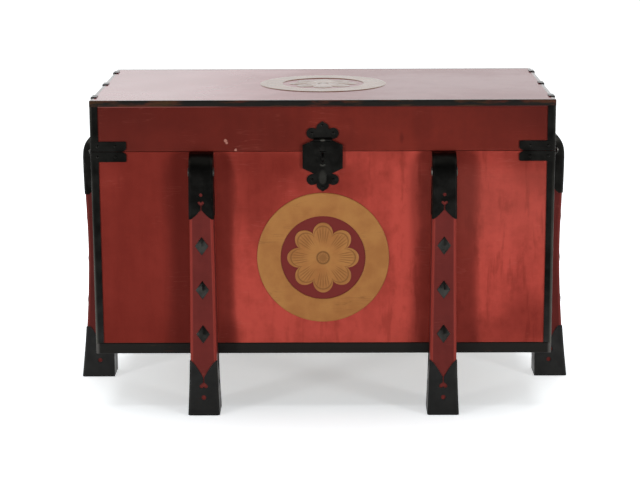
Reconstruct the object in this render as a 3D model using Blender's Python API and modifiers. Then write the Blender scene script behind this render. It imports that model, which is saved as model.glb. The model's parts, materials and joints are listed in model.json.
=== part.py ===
"""Six-legged armor chest: a red lacquered box with black edges, a hinged lid and an iron hasp.

Metres, +Z up. The floor is z = 0, the middle of the box is x = y = 0, and the front faces -Y.
"""
import math

import bmesh
import bpy
from mathutils import Matrix, Vector

# Box, measured over the black edge binding
CHEST_WIDTH = 0.924
CHEST_DEPTH = 0.510
FLOOR_CLEARANCE = 0.1133
BODY_HEIGHT = 0.4152
LID_HEIGHT = 0.1025
SEAM_GAP = 0.001
BOARD = 0.015
BOTTOM_BOARD = 0.012
LID_TOP_BOARD = 0.012
RAIL_HEIGHT = 0.0217
RAIL_WIDTH = 0.026
RAIL_ROUND = 0.001

# Black edge binding: thin angle strips that wrap every outer edge
BINDING = 0.0015
CORNER_BINDING_WIDTH = 0.016
EDGE_BINDING_TOP = 0.011
EDGE_BINDING_FACE = 0.0123

# The gap that touching pieces keep, and the gap of pieces that turn past each other
FIT = 0.0003
RUNNING_GAP = 0.0006

# Iron corner straps, half on the lid and half on the body
STRAP = 0.002
STRAP_LENGTH = 0.072
STRAP_HEIGHT = 0.020
STRAP_NOTCH = 0.008
STRAP_NOTCH_RISE = 0.0075
STRAP_CORNER = 0.003

# Iron clips over the lid's two short top edges
CLIP = 0.002
CLIP_LENGTH = 0.030
CLIP_WIDTH = 0.012
CLIP_SPREAD = 0.398

# Legs
LEG_SPREAD = 0.4816
LEG_TOP_DROP = 0.0020
LEG_WIDTH_TOP = 0.0445
LEG_WIDTH_ANKLE = 0.0530
LEG_FOOT_FLARE = 0.0058
LEG_REACH_FOOT = 0.0590
LEG_REACH_WAIST = 0.0406
LEG_REACH_SHOULDER = 0.0451
LEG_WAIST_HEIGHT = 0.285
LEG_HEAD_HEIGHT = 0.052
LEG_CHAMFER = 0.004
LEG_LEDGE = 0.008
LEG_SWEEP_POWER = 1.8
LEG_FLARE_POWER = 1.6
LEG_HEAD_POWER = 2.6
LEG_HEAD_CLOSE = 0.985

# Iron caps and shoes on the legs, with their swallow-tail edges and piercings
SKIN = 0.0012
CAP_LENGTH = 0.127
CAP_NOTCH = 0.0205
CAP_HEART_WIDTH = 0.013
CAP_DOT_GAP = 0.0126
SHOE_HEIGHT = 0.111
SHOE_NOTCH = 0.036
SHOE_HEART_WIDTH = 0.017
SHOE_DOT_GAP = 0.0188
HEART_RATIO = 0.80
HEART_WAVES = (13, -5, -2, -1)
HEART_SPAN = 29
STEM_WIDTH = 0.0024
STEM_LENGTH = 0.006
DOT_SHARE = 0.28
PRONG = 0.0015
NOTCH_POWER = 1.3

# Diamond studs on the legs
STUD_WIDTH = 0.027
STUD_HEIGHT = 0.038
STUD_RISE = 0.004
STUD_PITCH = 0.090
STUD_COUNT = 3

# Rope holes through the legs, with an iron eyelet at each end
ROPE_HOLE_DROP = 0.035
ROPE_HOLE_REACH = 0.024
ROPE_HOLE_RADIUS = 0.0045
EYELET_FLANGE = 0.0095
EYELET_LIP = 0.002

# Nails that hold the ironwork
NAIL_RADIUS = 0.0028
NAIL_RISE = 0.0014
NAIL_EDGE = 0.014

# Back hinges of the lid
HINGE_LENGTH = 0.060
HINGE_LEAF = 0.002
HINGE_LID_LEAF_HEIGHT = 0.036
HINGE_BODY_LEAF_HEIGHT = 0.046
HINGE_TIP_SHARE = 0.7
HINGE_NAIL_SHARES = (0.42, 0.78)
HINGE_KNUCKLE = 0.005
HINGE_PIN = 0.0021

# Hasp on the front: a six-sided flap that hangs from the lid plate over a staple on the body plate
HASP_AXIS_RISE = 0.0235
HASP_KNUCKLE = 0.004
HASP_PIN = 0.0016
HASP_LEAF = 0.002
HASP_FLAP = 0.0028
HASP_BARREL_LENGTH = 0.036
HASP_HALF_WIDTH = 0.040
HASP_SHOULDER = 0.0105
HASP_HEEL = 0.011
HASP_RIM = 0.018
HASP_SLOT_WIDTH = 0.012
HASP_SLOT_WEB = 0.003
HASP_SLOT_CLEARANCE = 0.004
HASP_TONGUE_WIDTH = 0.016
HASP_TONGUE_LENGTH = 0.021
HASP_TONGUE_ROOT = 0.002
STAPLE_DROP = 0.0125
STAPLE_BEND = 0.0075
STAPLE_WIRE = 0.002
STAPLE_STRAIGHT = 0.0065
PLATE_SIDE_LOBE = 0.011
PLATE_SIDE_RISE = 0.01265
PLATE_SIDE_ARC = (-70, 118)
PLATE_TOP_LOBE = 0.0125
PLATE_TOP_ARC = (-6, 72)
PLATE_TIP = 0.0025

# Gilt medallions in low relief, one on the front and one on the lid
MEDALLION_RADIUS = 0.1326
MEDALLION_RING_WIDTH = 0.0475
MEDALLION_GAP = 0.0025
MEDALLION_RELIEF = 0.0018
FLOWER_RADIUS = 0.072
FLOWER_PETALS = 8
FLOWER_NOTCH = 0.020
FLOWER_POWER = 0.7

# Counts of straight pieces that stand for round stretches
ROUND_STEPS = 16
RING_STEPS = 56
DOT_STEPS = 10
NAIL_STEPS = 6
BEND_STEPS = 8
FOOT_STEPS = 4
SHAFT_STEPS = 6
HEAD_STEPS = 7
HEART_STEPS = 7
NOTCH_STEPS = 5
STRAP_STEPS = 3
PETAL_STEPS = 8

# Places worked out from the sizes above
HALF_WIDTH = CHEST_WIDTH / 2
HALF_DEPTH = CHEST_DEPTH / 2
SEAM_Z = FLOOR_CLEARANCE + BODY_HEIGHT
TOP_Z = SEAM_Z + LID_HEIGHT
BOARD_X = HALF_WIDTH - BINDING - FIT
BOARD_Y = HALF_DEPTH - BINDING - FIT
RAIL_TOP = FLOOR_CLEARANCE + RAIL_HEIGHT
WALL_BOTTOM = RAIL_TOP + FIT
WALL_TOP = SEAM_Z - SEAM_GAP / 2
LID_BOTTOM = SEAM_Z + SEAM_GAP / 2
LID_FACE_Z = TOP_Z - BINDING - FIT
LEG_X = LEG_SPREAD / 2
LEG_TOP = SEAM_Z - LEG_TOP_DROP
LEG_SHOULDER = LEG_TOP - LEG_HEAD_HEIGHT
CAP_BOTTOM = LEG_TOP - CAP_LENGTH
ROPE_HOLE_Z = LEG_TOP - ROPE_HOLE_DROP
STRAP_END = BOARD_X + FIT + STRAP - STRAP_LENGTH
HINGE_Y = BOARD_Y + FIT + HINGE_KNUCKLE
HINGE_X = (LEG_X + LEG_WIDTH_ANKLE / 2 + STRAP_END) / 2
HASP_Y = -(BOARD_Y + FIT + HASP_KNUCKLE)
HASP_Z = SEAM_Z + HASP_AXIS_RISE
STAPLE_Z = SEAM_Z - STAPLE_DROP - HASP_Z
STAPLE_SWEEP = math.hypot(STAPLE_Z, STAPLE_STRAIGHT) + STAPLE_BEND + STAPLE_WIRE
SLOT_END = STAPLE_SWEEP + HASP_SLOT_CLEARANCE
SLOT_START = HASP_KNUCKLE + HASP_SLOT_WEB + HASP_SLOT_WIDTH / 2
FLAP_END = SLOT_END + HASP_RIM
PLATE_WAIST = HASP_BARREL_LENGTH / 2 - RUNNING_GAP
PLATE_SIDE_X = PLATE_WAIST + PLATE_SIDE_LOBE / 3
PLATE_REACH = 2 * PLATE_SIDE_LOBE + PLATE_TOP_LOBE + PLATE_TIP
MEDALLION_Z = HASP_Z - FLAP_END - PLATE_REACH - MEDALLION_GAP - MEDALLION_RADIUS

FULL_TURN = 2 * math.pi
SMOOTH_ANGLE = math.radians(30)
CORNERS = {
    "front_left": (-HALF_WIDTH, -HALF_DEPTH, 0.0),
    "front_right": (HALF_WIDTH, -HALF_DEPTH, math.pi / 2),
    "back_right": (HALF_WIDTH, HALF_DEPTH, math.pi),
    "back_left": (-HALF_WIDTH, HALF_DEPTH, -math.pi / 2),
}
LEG_PLACES = {
    "front_left": ((-LEG_X, -HALF_DEPTH), 0.0),
    "front_right": ((LEG_X, -HALF_DEPTH), 0.0),
    "right": ((HALF_WIDTH, 0.0), math.pi / 2),
    "back_right": ((LEG_X, HALF_DEPTH), math.pi),
    "back_left": ((-LEG_X, HALF_DEPTH), math.pi),
    "left": ((-HALF_WIDTH, 0.0), -math.pi / 2),
}


def new_collection(name):
    collection = bpy.data.collections.new(name)
    bpy.context.scene.collection.children.link(collection)
    return collection


def finish(name, colour, roughness, metallic):
    """A plain material with one colour."""
    material = bpy.data.materials.new(name)
    material.use_nodes = True
    material.diffuse_color = (*colour, 1.0)
    shader = material.node_tree.nodes["Principled BSDF"]
    shader.inputs["Base Color"].default_value = (*colour, 1.0)
    shader.inputs["Roughness"].default_value = roughness
    shader.inputs["Metallic"].default_value = metallic
    return material


for old in list(bpy.data.objects):
    bpy.data.objects.remove(old, do_unlink=True)

PARTS = new_collection("armor_chest")
CUTTERS = new_collection("armor_chest_cutters")
RED_LACQUER = finish("red_lacquer", (0.300, 0.038, 0.030), 0.35, 0.0)
BLACK_LACQUER = finish("black_lacquer", (0.010, 0.009, 0.008), 0.35, 0.0)
IRON = finish("black_iron", (0.014, 0.013, 0.012), 0.45, 1.0)
GOLD_LACQUER = finish("gold_lacquer", (0.420, 0.180, 0.050), 0.40, 0.3)
PLAIN_WOOD = finish("plain_wood", (0.250, 0.130, 0.060), 0.60, 0.0)


def pivot(name, place, parent=None):
    """An empty on a turning axis, which carries the pieces that turn with it."""
    empty = bpy.data.objects.new(name, None)
    PARTS.objects.link(empty)
    empty.parent = parent
    if parent:
        empty.matrix_parent_inverse = parent.matrix_world.inverted()
    empty.location = place
    bpy.context.view_layer.update()
    return empty


def add_part(name, mesh, material, carrier, place=Matrix()):
    """Name a mesh as a piece of the chest, set it in its place and hang it on its carrier."""
    piece = bpy.data.objects.new(name, mesh)
    PARTS.objects.link(piece)
    if not mesh.materials:
        mesh.materials.append(material)
        mesh.shade_smooth()
        mesh.set_sharp_from_angle(angle=SMOOTH_ANGLE)
    piece.parent = carrier
    piece.matrix_parent_inverse = carrier.matrix_world.inverted()
    piece.matrix_basis = place
    return piece


def at(x, y, z):
    return Matrix.Translation((x, y, z))


def turned(angle, axis):
    return Matrix.Rotation(angle, 4, axis)


def scaled(x, y, z):
    return Matrix.Diagonal((x, y, z, 1.0))


def mesh_of(build):
    """Close a bmesh into a mesh whose faces point out."""
    bmesh.ops.recalc_face_normals(build, faces=build.faces)
    mesh = bpy.data.meshes.new("shape")
    build.to_mesh(mesh)
    build.free()
    return mesh


def box(x, y, z):
    """A board of the stated size about its own middle."""
    build = bmesh.new()
    bmesh.ops.create_cube(build, size=1.0, matrix=scaled(x, y, z))
    return mesh_of(build)


def cone(radius, end_radius, height, steps):
    """A round or many-sided solid that stands on z = 0."""
    build = bmesh.new()
    bmesh.ops.create_cone(build, cap_ends=True, segments=steps, radius1=radius,
                          radius2=end_radius, depth=height, matrix=at(0, 0, height / 2))
    return mesh_of(build)


def rod(radius, start, end):
    """A cylinder along X from start to end."""
    mesh = cone(radius, radius, end - start, ROUND_STEPS)
    mesh.transform(at(start, 0, 0) @ turned(math.pi / 2, "Y"))
    return mesh


def loft(rings):
    """A closed skin over rings that have equal counts of points, with flat ends."""
    build = bmesh.new()
    rows = [[build.verts.new(point) for point in ring] for ring in rings]
    for lower, upper in zip(rows, rows[1:]):
        for here, after in zip(range(len(lower)), [*range(1, len(lower)), 0]):
            build.faces.new((lower[here], lower[after], upper[after], upper[here]))
    build.faces.new(rows[0])
    build.faces.new(rows[-1])
    return mesh_of(build)


def evaluated_mesh(holder):
    """The mesh of an object with its modifiers applied and doubles welded. The object is removed."""
    bpy.context.view_layer.update()
    graph = bpy.context.evaluated_depsgraph_get()
    mesh = bpy.data.meshes.new_from_object(holder.evaluated_get(graph))
    bpy.data.objects.remove(holder, do_unlink=True)
    build = bmesh.new()
    build.from_mesh(mesh)
    bmesh.ops.remove_doubles(build, verts=build.verts, dist=1e-6)
    return mesh_of(build)


def plate(outlines, thickness):
    """A flat plate with outlines in XY, later ones being holes, from z = 0 to its thickness."""
    curve = bpy.data.curves.new("outline", "CURVE")
    curve.dimensions = "2D"
    curve.fill_mode = "BOTH"
    curve.extrude = thickness / 2
    for outline in outlines:
        spline = curve.splines.new("POLY")
        spline.points.add(len(outline) - 1)
        for point, (x, y) in zip(spline.points, outline):
            point.co = (x, y, 0.0, 1.0)
        spline.use_cyclic_u = True
    holder = bpy.data.objects.new("outline", curve)
    CUTTERS.objects.link(holder)
    mesh = evaluated_mesh(holder)
    mesh.transform(at(0, 0, thickness / 2))
    return mesh


def combined(mesh, others, operation):
    """Cut the other solids out of a mesh, or join them to it."""
    holder = bpy.data.objects.new("blank", mesh)
    CUTTERS.objects.link(holder)
    helpers = []
    for index, other in enumerate(others):
        helper = bpy.data.objects.new(f"cutter_{index}", other)
        helper.hide_render = True
        helper.display_type = "WIRE"
        CUTTERS.objects.link(helper)
        helpers.append(helper)
        modifier = holder.modifiers.new(helper.name, "BOOLEAN")
        modifier.operation = operation
        modifier.solver = "EXACT"
        modifier.object = helper
    result = evaluated_mesh(holder)
    for helper in helpers:
        bpy.data.objects.remove(helper, do_unlink=True)
    return result


def placed(mesh, place):
    """A copy of a mesh moved to its place."""
    copy = mesh.copy()
    copy.transform(place)
    return copy


def arc(x, y, radius, start, end, steps):
    """Points on a circle between two angles in degrees, both ends kept."""
    angles = [math.radians(start + (end - start) * i / steps) for i in range(steps + 1)]
    return [(x + radius * math.cos(angle), y + radius * math.sin(angle)) for angle in angles]


def circle(radius, steps):
    return arc(0, 0, radius, 0, 360, steps)[:-1]


def both_sides(right):
    """A closed outline from its right half, whose last point lies on the middle line."""
    return right + [(-x, y) for x, y in reversed(right[:-1])]


def angle_section(arm_p, arm_q, thickness):
    """An L with its outer corner at the origin, slightly eased there, and arms along +p and +q."""
    ease = thickness / 2
    return [(arm_p, 0), (arm_p, thickness), (thickness, thickness), (thickness, arm_q),
            (0, arm_q), (0, ease), (ease, 0)]


def upright_angle(arms, thickness):
    """An upright corner angle: each arm length belongs to a height, listed from the bottom up."""
    return loft([[Vector((p, q, z)) for p, q in angle_section(arm, arm, thickness)] for arm, z in arms])


def facing(turn, reach, z):
    """Places a plate drawn in XY on an upright face that looks along -Y turned about Z."""
    return turned(turn, "Z") @ at(0, -reach, z) @ turned(math.pi / 2, "X")


# The box: boards rabbeted at the corners, standing on black base rails
def long_board(height):
    """A front or back board in plan, its outer face on y = 0, with half its thickness cut at each end."""
    cut = BOARD_X - BOARD - FIT
    outline = [(-BOARD_X, 0), (BOARD_X, 0), (BOARD_X, BOARD / 2), (cut, BOARD / 2), (cut, BOARD),
               (-cut, BOARD), (-cut, BOARD / 2), (-BOARD_X, BOARD / 2)]
    return plate([outline], height)


def add_walls(names, low, high, carrier):
    """The four boards of the body or of the lid, between two heights."""
    front, back, left, right = names
    long_mesh = long_board(high - low)
    add_part(front, long_mesh, RED_LACQUER, carrier, at(0, -BOARD_Y, low))
    add_part(back, long_mesh, RED_LACQUER, carrier, at(0, BOARD_Y, low) @ turned(math.pi, "Z"))
    end_mesh = box(BOARD, 2 * (BOARD_Y - BOARD / 2 - FIT), high - low)
    middle = (low + high) / 2
    add_part(left, end_mesh, RED_LACQUER, carrier, at(-BOARD_X + BOARD / 2, 0, middle))
    add_part(right, end_mesh, RED_LACQUER, carrier, at(BOARD_X - BOARD / 2, 0, middle))


def add_rails(carrier):
    """Base rails under the walls, flush with the binding and wide enough to carry the bottom board."""
    long_rail = box(CHEST_WIDTH, RAIL_WIDTH, RAIL_HEIGHT)
    short_rail = box(RAIL_WIDTH, CHEST_DEPTH - 2 * (RAIL_WIDTH + FIT), RAIL_HEIGHT)
    middle = FLOOR_CLEARANCE + RAIL_HEIGHT / 2
    y = HALF_DEPTH - RAIL_WIDTH / 2
    x = HALF_WIDTH - RAIL_WIDTH / 2
    rails = [
        add_part("base_rail_front", long_rail, BLACK_LACQUER, carrier, at(0, -y, middle)),
        add_part("base_rail_back", long_rail, BLACK_LACQUER, carrier, at(0, y, middle)),
        add_part("base_rail_left", short_rail, BLACK_LACQUER, carrier, at(-x, 0, middle)),
        add_part("base_rail_right", short_rail, BLACK_LACQUER, carrier, at(x, 0, middle)),
    ]
    for rail in rails:
        bevel = rail.modifiers.new("eased_edges", "BEVEL")
        bevel.width = RAIL_ROUND
        bevel.segments = 1


def add_bottom(carrier):
    board = box(2 * (BOARD_X - BOARD - FIT), 2 * (BOARD_Y - BOARD - FIT), BOTTOM_BOARD)
    add_part("bottom_board", board, PLAIN_WOOD, carrier, at(0, 0, WALL_BOTTOM + BOTTOM_BOARD / 2))


def add_lid_top(carrier):
    board = box(2 * BOARD_X, 2 * BOARD_Y, LID_TOP_BOARD)
    add_part("lid_top_board", board, RED_LACQUER, carrier, at(0, 0, LID_FACE_Z - LID_TOP_BOARD / 2))


# Ironwork held by round-headed nails, whose heads are one with what they hold
def nail_mesh():
    """A nail head about Z, its foot sunk by the usual gap so that it joins its plate."""
    return placed(cone(NAIL_RADIUS, NAIL_RADIUS / 2, NAIL_RISE + FIT, NAIL_STEPS), at(0, 0, -FIT))


def nailed(mesh, places):
    """A mesh with a nail head at each place."""
    nail = nail_mesh()
    return combined(mesh, [placed(nail, place) for place in places], "UNION")


# Edge binding of the lid, with iron clips on its two short edges
def edge_strip(length, section, shift):
    """An angle along X over the lid's top edge, with mitred ends. Shift moves its outer edge outwards."""
    half = length / 2 - FIT
    points = [(half - p, p - shift, shift - q) for p, q in section]
    return loft([[Vector((side * x, y, z)) for x, y, z in points] for side in (-1, 1)])


def add_edge_bindings(carrier):
    section = angle_section(EDGE_BINDING_TOP, EDGE_BINDING_FACE, BINDING)
    clip = edge_strip(CLIP_LENGTH, angle_section(CLIP_WIDTH, CLIP_WIDTH, CLIP + FIT), CLIP)
    clips = [placed(clip, at(along, 0, 0)) for along in (-CLIP_SPREAD / 2, 0, CLIP_SPREAD / 2)]
    long_strip = edge_strip(CHEST_WIDTH, section, 0)
    short_strip = combined(edge_strip(CHEST_DEPTH, section, 0), clips, "UNION")
    places = (("front", long_strip, 0.0, HALF_DEPTH), ("right", short_strip, math.pi / 2, HALF_WIDTH),
              ("back", long_strip, math.pi, HALF_DEPTH), ("left", short_strip, -math.pi / 2, HALF_WIDTH))
    for side, strip, turn, reach in places:
        place = turned(turn, "Z") @ at(0, -reach, TOP_Z)
        add_part(f"lid_edge_binding_{side}", strip, BLACK_LACQUER, carrier, place)


# Corner irons: a black angle up each corner that widens into a strap at the seam
def strap_mesh():
    """A corner strap on its seam edge at z = 0, standing up: its ends are notched at the seam."""
    cuts = [i / STRAP_STEPS for i in range(STRAP_STEPS + 1)]
    arms = [(STRAP_LENGTH - STRAP_NOTCH * (1 - cut) ** 2, cut * STRAP_NOTCH_RISE) for cut in cuts]
    arms.append((STRAP_LENGTH, STRAP_HEIGHT - STRAP_CORNER))
    arms.append((STRAP_LENGTH - STRAP_CORNER, STRAP_HEIGHT))
    proud = STRAP - BINDING
    return placed(upright_angle(arms, STRAP), at(-proud, -proud, 0))


def corner_iron(height):
    """The corner angle from the seam at z = 0 up to its height, with its strap and nails."""
    ends = (STRAP_HEIGHT / 2, height)
    angle = upright_angle([(CORNER_BINDING_WIDTH, end) for end in ends], BINDING)
    joined = combined(strap_mesh(), [angle], "UNION")
    proud = STRAP - BINDING
    places = []
    for along in (NAIL_EDGE, STRAP_LENGTH - STRAP_NOTCH - NAIL_EDGE):
        places.append(at(along, -proud, STRAP_HEIGHT / 2) @ turned(math.pi / 2, "X"))
        places.append(at(-proud, along, STRAP_HEIGHT / 2) @ turned(-math.pi / 2, "Y"))
    return nailed(joined, places)


def add_corner_irons(name, mesh, z, carrier):
    for corner, (x, y, turn) in CORNERS.items():
        add_part(f"{name}_{corner}", mesh, IRON, carrier, at(x, y, z) @ turned(turn, "Z"))


def hung_below(mesh):
    """A corner iron turned over to hang below the seam. Its arms are alike, so a half turn does it."""
    return placed(mesh, turned(math.pi / 2, "Z") @ turned(math.pi, "X"))


# Legs
def leg_reach(z):
    """How far a leg stands out from the wall: a foot that sweeps out, a waist and a rounded head."""
    if z <= LEG_WAIST_HEIGHT:
        spread = ((LEG_WAIST_HEIGHT - z) / LEG_WAIST_HEIGHT) ** LEG_SWEEP_POWER
        return LEG_REACH_WAIST + (LEG_REACH_FOOT - LEG_REACH_WAIST) * spread
    if z <= LEG_SHOULDER:
        rise = (z - LEG_WAIST_HEIGHT) / (LEG_SHOULDER - LEG_WAIST_HEIGHT)
        spread = (1 - math.cos(math.pi * rise)) / 2
        return LEG_REACH_WAIST + (LEG_REACH_SHOULDER - LEG_REACH_WAIST) * spread
    rise = LEG_HEAD_CLOSE * (z - LEG_SHOULDER) / LEG_HEAD_HEIGHT
    return LEG_REACH_SHOULDER * (1 - rise ** LEG_HEAD_POWER) ** (1 / LEG_HEAD_POWER)


def leg_width(z):
    """Width of a leg: a straight taper, with a flare inside the shoe."""
    taper = (LEG_WIDTH_TOP - LEG_WIDTH_ANKLE) / (LEG_TOP - SHOE_HEIGHT)
    width = LEG_WIDTH_ANKLE + taper * (z - SHOE_HEIGHT)
    flare = max(0.0, (SHOE_HEIGHT - z) / SHOE_HEIGHT)
    return width + LEG_FOOT_FLARE * flare ** LEG_FLARE_POWER


def leg_levels(low, high):
    """Heights where a leg's section is drawn: closer together in the foot and the head."""
    shaft_length = LEG_SHOULDER - SHOE_HEIGHT
    turns = [math.pi / 2 * i / HEAD_STEPS for i in range(HEAD_STEPS)]
    foot = [SHOE_HEIGHT * i / FOOT_STEPS for i in range(FOOT_STEPS)]
    shaft = [SHOE_HEIGHT + shaft_length * i / SHAFT_STEPS for i in range(SHAFT_STEPS)]
    head = [LEG_SHOULDER + LEG_HEAD_HEIGHT * math.sin(turn) for turn in turns]
    inner = [z for z in foot + shaft + head if low + FIT < z < high - FIT]
    return [low, *inner, high]


def leg_ring(z, grow, back):
    """One level of a leg grown outwards: a rectangle with both front edges planed off."""
    half = leg_width(z) / 2 + grow
    reach = leg_reach(z) + grow
    lift = grow * max(0.0, (z - LEG_SHOULDER) / LEG_HEAD_HEIGHT) ** 2
    outline = [(-half, back), (-half, -reach + LEG_CHAMFER), (-half + LEG_CHAMFER, -reach),
               (half - LEG_CHAMFER, -reach), (half, -reach + LEG_CHAMFER), (half, back)]
    return [Vector((x, y, z + lift)) for x, y in outline]


def leg_solid(low, high, grow, back):
    return loft([leg_ring(z, grow, back) for z in leg_levels(low, high)])


def slab(y_low, y_high, z_low, z_high):
    """A wide cutter between two depths and two heights."""
    mesh = box(4 * LEG_WIDTH_ANKLE, y_high - y_low, z_high - z_low)
    mesh.transform(at(0, (y_low + y_high) / 2, (z_low + z_high) / 2))
    return mesh


def rope_bore():
    """The cutter for a rope hole across the leg."""
    reach = 2 * LEG_WIDTH_ANKLE
    return placed(rod(ROPE_HOLE_RADIUS, -reach, reach), at(0, -ROPE_HOLE_REACH, ROPE_HOLE_Z))


def eyelets():
    """The raised rims round both ends of a rope hole, joined to the flanks of the cap."""
    crown = (ROPE_HOLE_RADIUS + EYELET_FLANGE) / 2
    rim = cone(EYELET_FLANGE, crown, EYELET_LIP + FIT, ROUND_STEPS)
    x = leg_width(ROPE_HOLE_Z) / 2 + SKIN
    rims = []
    for side in (-1, 1):
        flank = at(side * x, -ROPE_HOLE_REACH, ROPE_HOLE_Z)
        rims.append(placed(rim, flank @ turned(side * math.pi / 2, "Y")))
    return rims


def leg_studs():
    """The four-sided diamond studs of a leg, on its sloping front face and sunk by the usual gap."""
    stud = cone(1.0, 0.0, STUD_RISE + FIT, 4)
    stud.transform(scaled(STUD_WIDTH / 2, STUD_HEIGHT / 2, 1))
    middle = (SHOE_HEIGHT + CAP_BOTTOM) / 2
    studs = []
    for index in range(STUD_COUNT):
        z = middle + (index - (STUD_COUNT - 1) / 2) * STUD_PITCH
        step = STUD_HEIGHT / 4
        slope = math.atan((leg_reach(z + step) - leg_reach(z - step)) / (2 * step))
        studs.append(placed(stud, at(0, -leg_reach(z) + FIT, z) @ turned(math.pi / 2 + slope, "X")))
    return studs


def leg_mesh():
    """A leg, cut back to clear the wall and the rail, with a ledge under the rail that carries the box."""
    blank = leg_solid(0, LEG_TOP, 0, LEG_LEDGE)
    beyond = 2 * LEG_LEDGE
    wall = slab(BINDING, beyond, RAIL_TOP, TOP_Z)
    rail = slab(-FIT, beyond, FLOOR_CLEARANCE - FIT, RAIL_TOP + FIT)
    shaped = combined(blank, [wall, rail, rope_bore()], "DIFFERENCE")
    return combined(shaped, leg_studs(), "UNION")


def heart_half(width, tip_width):
    """Right half of a heart with its point at the origin, from the point up to the dip.

    It is the usual heart curve: x is the cube of a sine, and y the sum of four cosines, HEART_WAVES, which
    runs from -17 at the point up to about 12 at the crown.
    """
    lowest = sum(HEART_WAVES[1::2]) - sum(HEART_WAVES[::2])
    half = []
    for i in range(HEART_STEPS + 1):
        angle = math.pi * (1 - i / HEART_STEPS)
        wave = sum(share * math.cos((k + 1) * angle) for k, share in enumerate(HEART_WAVES))
        half.append((width / 2 * math.sin(angle) ** 3, (wave - lowest) / HEART_SPAN * width * HEART_RATIO))
    return [(x, y) for x, y in half if x > tip_width] + [(0.0, half[-1][1])]


def swallow_tail(half_width, rise, heart_width):
    """Cutter outline: a cusped notch that opens downwards at y = 0, with a stem and a heart above it."""
    stem = STEM_WIDTH / 2
    below = -rise
    steps = [i / NOTCH_STEPS for i in range(NOTCH_STEPS)]
    curve = [(half_width * (1 - step), rise * step ** NOTCH_POWER) for step in steps]
    curve.append((stem, rise * (1 - stem / half_width) ** NOTCH_POWER))
    heart = [(x, y + rise + STEM_LENGTH) for x, y in heart_half(heart_width, stem)]
    return both_sides([(half_width, below), *curve, (stem, rise + STEM_LENGTH + stem), *heart])


def piercings(edge, half_width, rise, heart_width, dot_gap):
    """Outlines for one face: the swallow tail, and a round dot beyond its heart, from a height edge."""
    sign = 1 if edge == CAP_BOTTOM else -1
    dot_height = rise + STEM_LENGTH + heart_width * HEART_RATIO + dot_gap
    dot = [(x, y + dot_height) for x, y in circle(heart_width * DOT_SHARE, DOT_STEPS)]
    outlines = [swallow_tail(half_width, rise, heart_width), dot]
    return [[(x, edge + sign * y) for x, y in outline] for outline in outlines]


def skin_cutters(edge, rise, heart_width, dot_gap, back):
    """Cutters for a cap or shoe: its swallow tail and dot on the front face and on both flanks."""
    cutters = []
    front_half = leg_width(edge) / 2 - PRONG
    depth = LEG_REACH_WAIST / 2
    for outline in piercings(edge, front_half, rise, heart_width, dot_gap):
        cutter = plate([outline], 2 * depth)
        cutter.transform(turned(math.pi / 2, "X"))
        cutter.transform(at(0, -depth, 0))
        cutters.append(cutter)
    flank_front = leg_reach(edge) - LEG_CHAMFER - PRONG
    flank_half = (flank_front - back) / 2 - PRONG
    middle = (flank_front + back) / 2
    for outline in piercings(edge, flank_half, rise, heart_width, dot_gap):
        cutter = plate([outline], 4 * LEG_WIDTH_ANKLE)
        upright = turned(math.pi / 2, "Z") @ turned(math.pi / 2, "X")
        cutter.transform(at(-2 * LEG_WIDTH_ANKLE, -middle, 0) @ upright)
        cutters.append(cutter)
    return cutters


def cap_mesh():
    """Iron cap over the head of a leg, open to the wall."""
    outer = leg_solid(CAP_BOTTOM, LEG_TOP, FIT + SKIN, BINDING)
    inner = leg_solid(CAP_BOTTOM - CAP_NOTCH, LEG_TOP, FIT, 2 * LEG_LEDGE)
    cutters = skin_cutters(CAP_BOTTOM, CAP_NOTCH, CAP_HEART_WIDTH, CAP_DOT_GAP, -BINDING)
    shell = combined(outer, [inner, *cutters], "DIFFERENCE")
    return combined(combined(shell, eyelets(), "UNION"), [rope_bore()], "DIFFERENCE")


def shoe_mesh():
    """Iron shoe round the foot of a leg, open at the floor and at the top, and clear of the base rail."""
    outer = leg_solid(FIT, SHOE_HEIGHT, FIT + SKIN, LEG_LEDGE + FIT + SKIN)
    inner = leg_solid(0, SHOE_HEIGHT + SHOE_NOTCH, FIT, LEG_LEDGE + FIT)
    rail = slab(-FIT, 2 * LEG_LEDGE, FLOOR_CLEARANCE - FIT, TOP_Z)
    cutters = skin_cutters(SHOE_HEIGHT, SHOE_NOTCH, SHOE_HEART_WIDTH, SHOE_DOT_GAP, 0)
    return combined(outer, [inner, rail, *cutters], "DIFFERENCE")


def add_legs(carrier):
    leg = leg_mesh()
    cap = cap_mesh()
    shoe = shoe_mesh()
    for side, ((x, y), turn) in LEG_PLACES.items():
        place = at(x, y, 0) @ turned(turn, "Z")
        add_part(f"leg_{side}", leg, RED_LACQUER, carrier, place)
        add_part(f"leg_cap_{side}", cap, IRON, carrier, place)
        add_part(f"leg_shoe_{side}", shoe, IRON, carrier, place)


# Hinges
def knuckle_spans(length):
    """A barrel in three: the outer two knuckles as one list, and the middle one."""
    third = length / 6
    return [(-length / 2, -third - FIT), (third + FIT, length / 2)], [(-third + FIT, third - FIT)]


def leaf_mesh(outlines, thickness, inset, barrel, pin, own, other):
    """A hinge leaf drawn in x and height, its axis on x, its local +Y pointing away from the wall.

    It is a plate inset behind the axis, with its own knuckles, room for the other leaf's, and a pin bore.
    """
    sheet = plate(outlines, thickness)
    sheet.transform(at(0, thickness - inset, 0) @ turned(math.pi / 2, "X"))
    joined = combined(sheet, [rod(barrel, start, end) for start, end in own], "UNION")
    room = [rod(barrel + RUNNING_GAP, start - FIT, end + FIT) for start, end in other]
    reach = max(end for _, end in own + other)
    return combined(joined, [*room, rod(pin + FIT, -reach - FIT, reach + FIT)], "DIFFERENCE")


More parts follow.
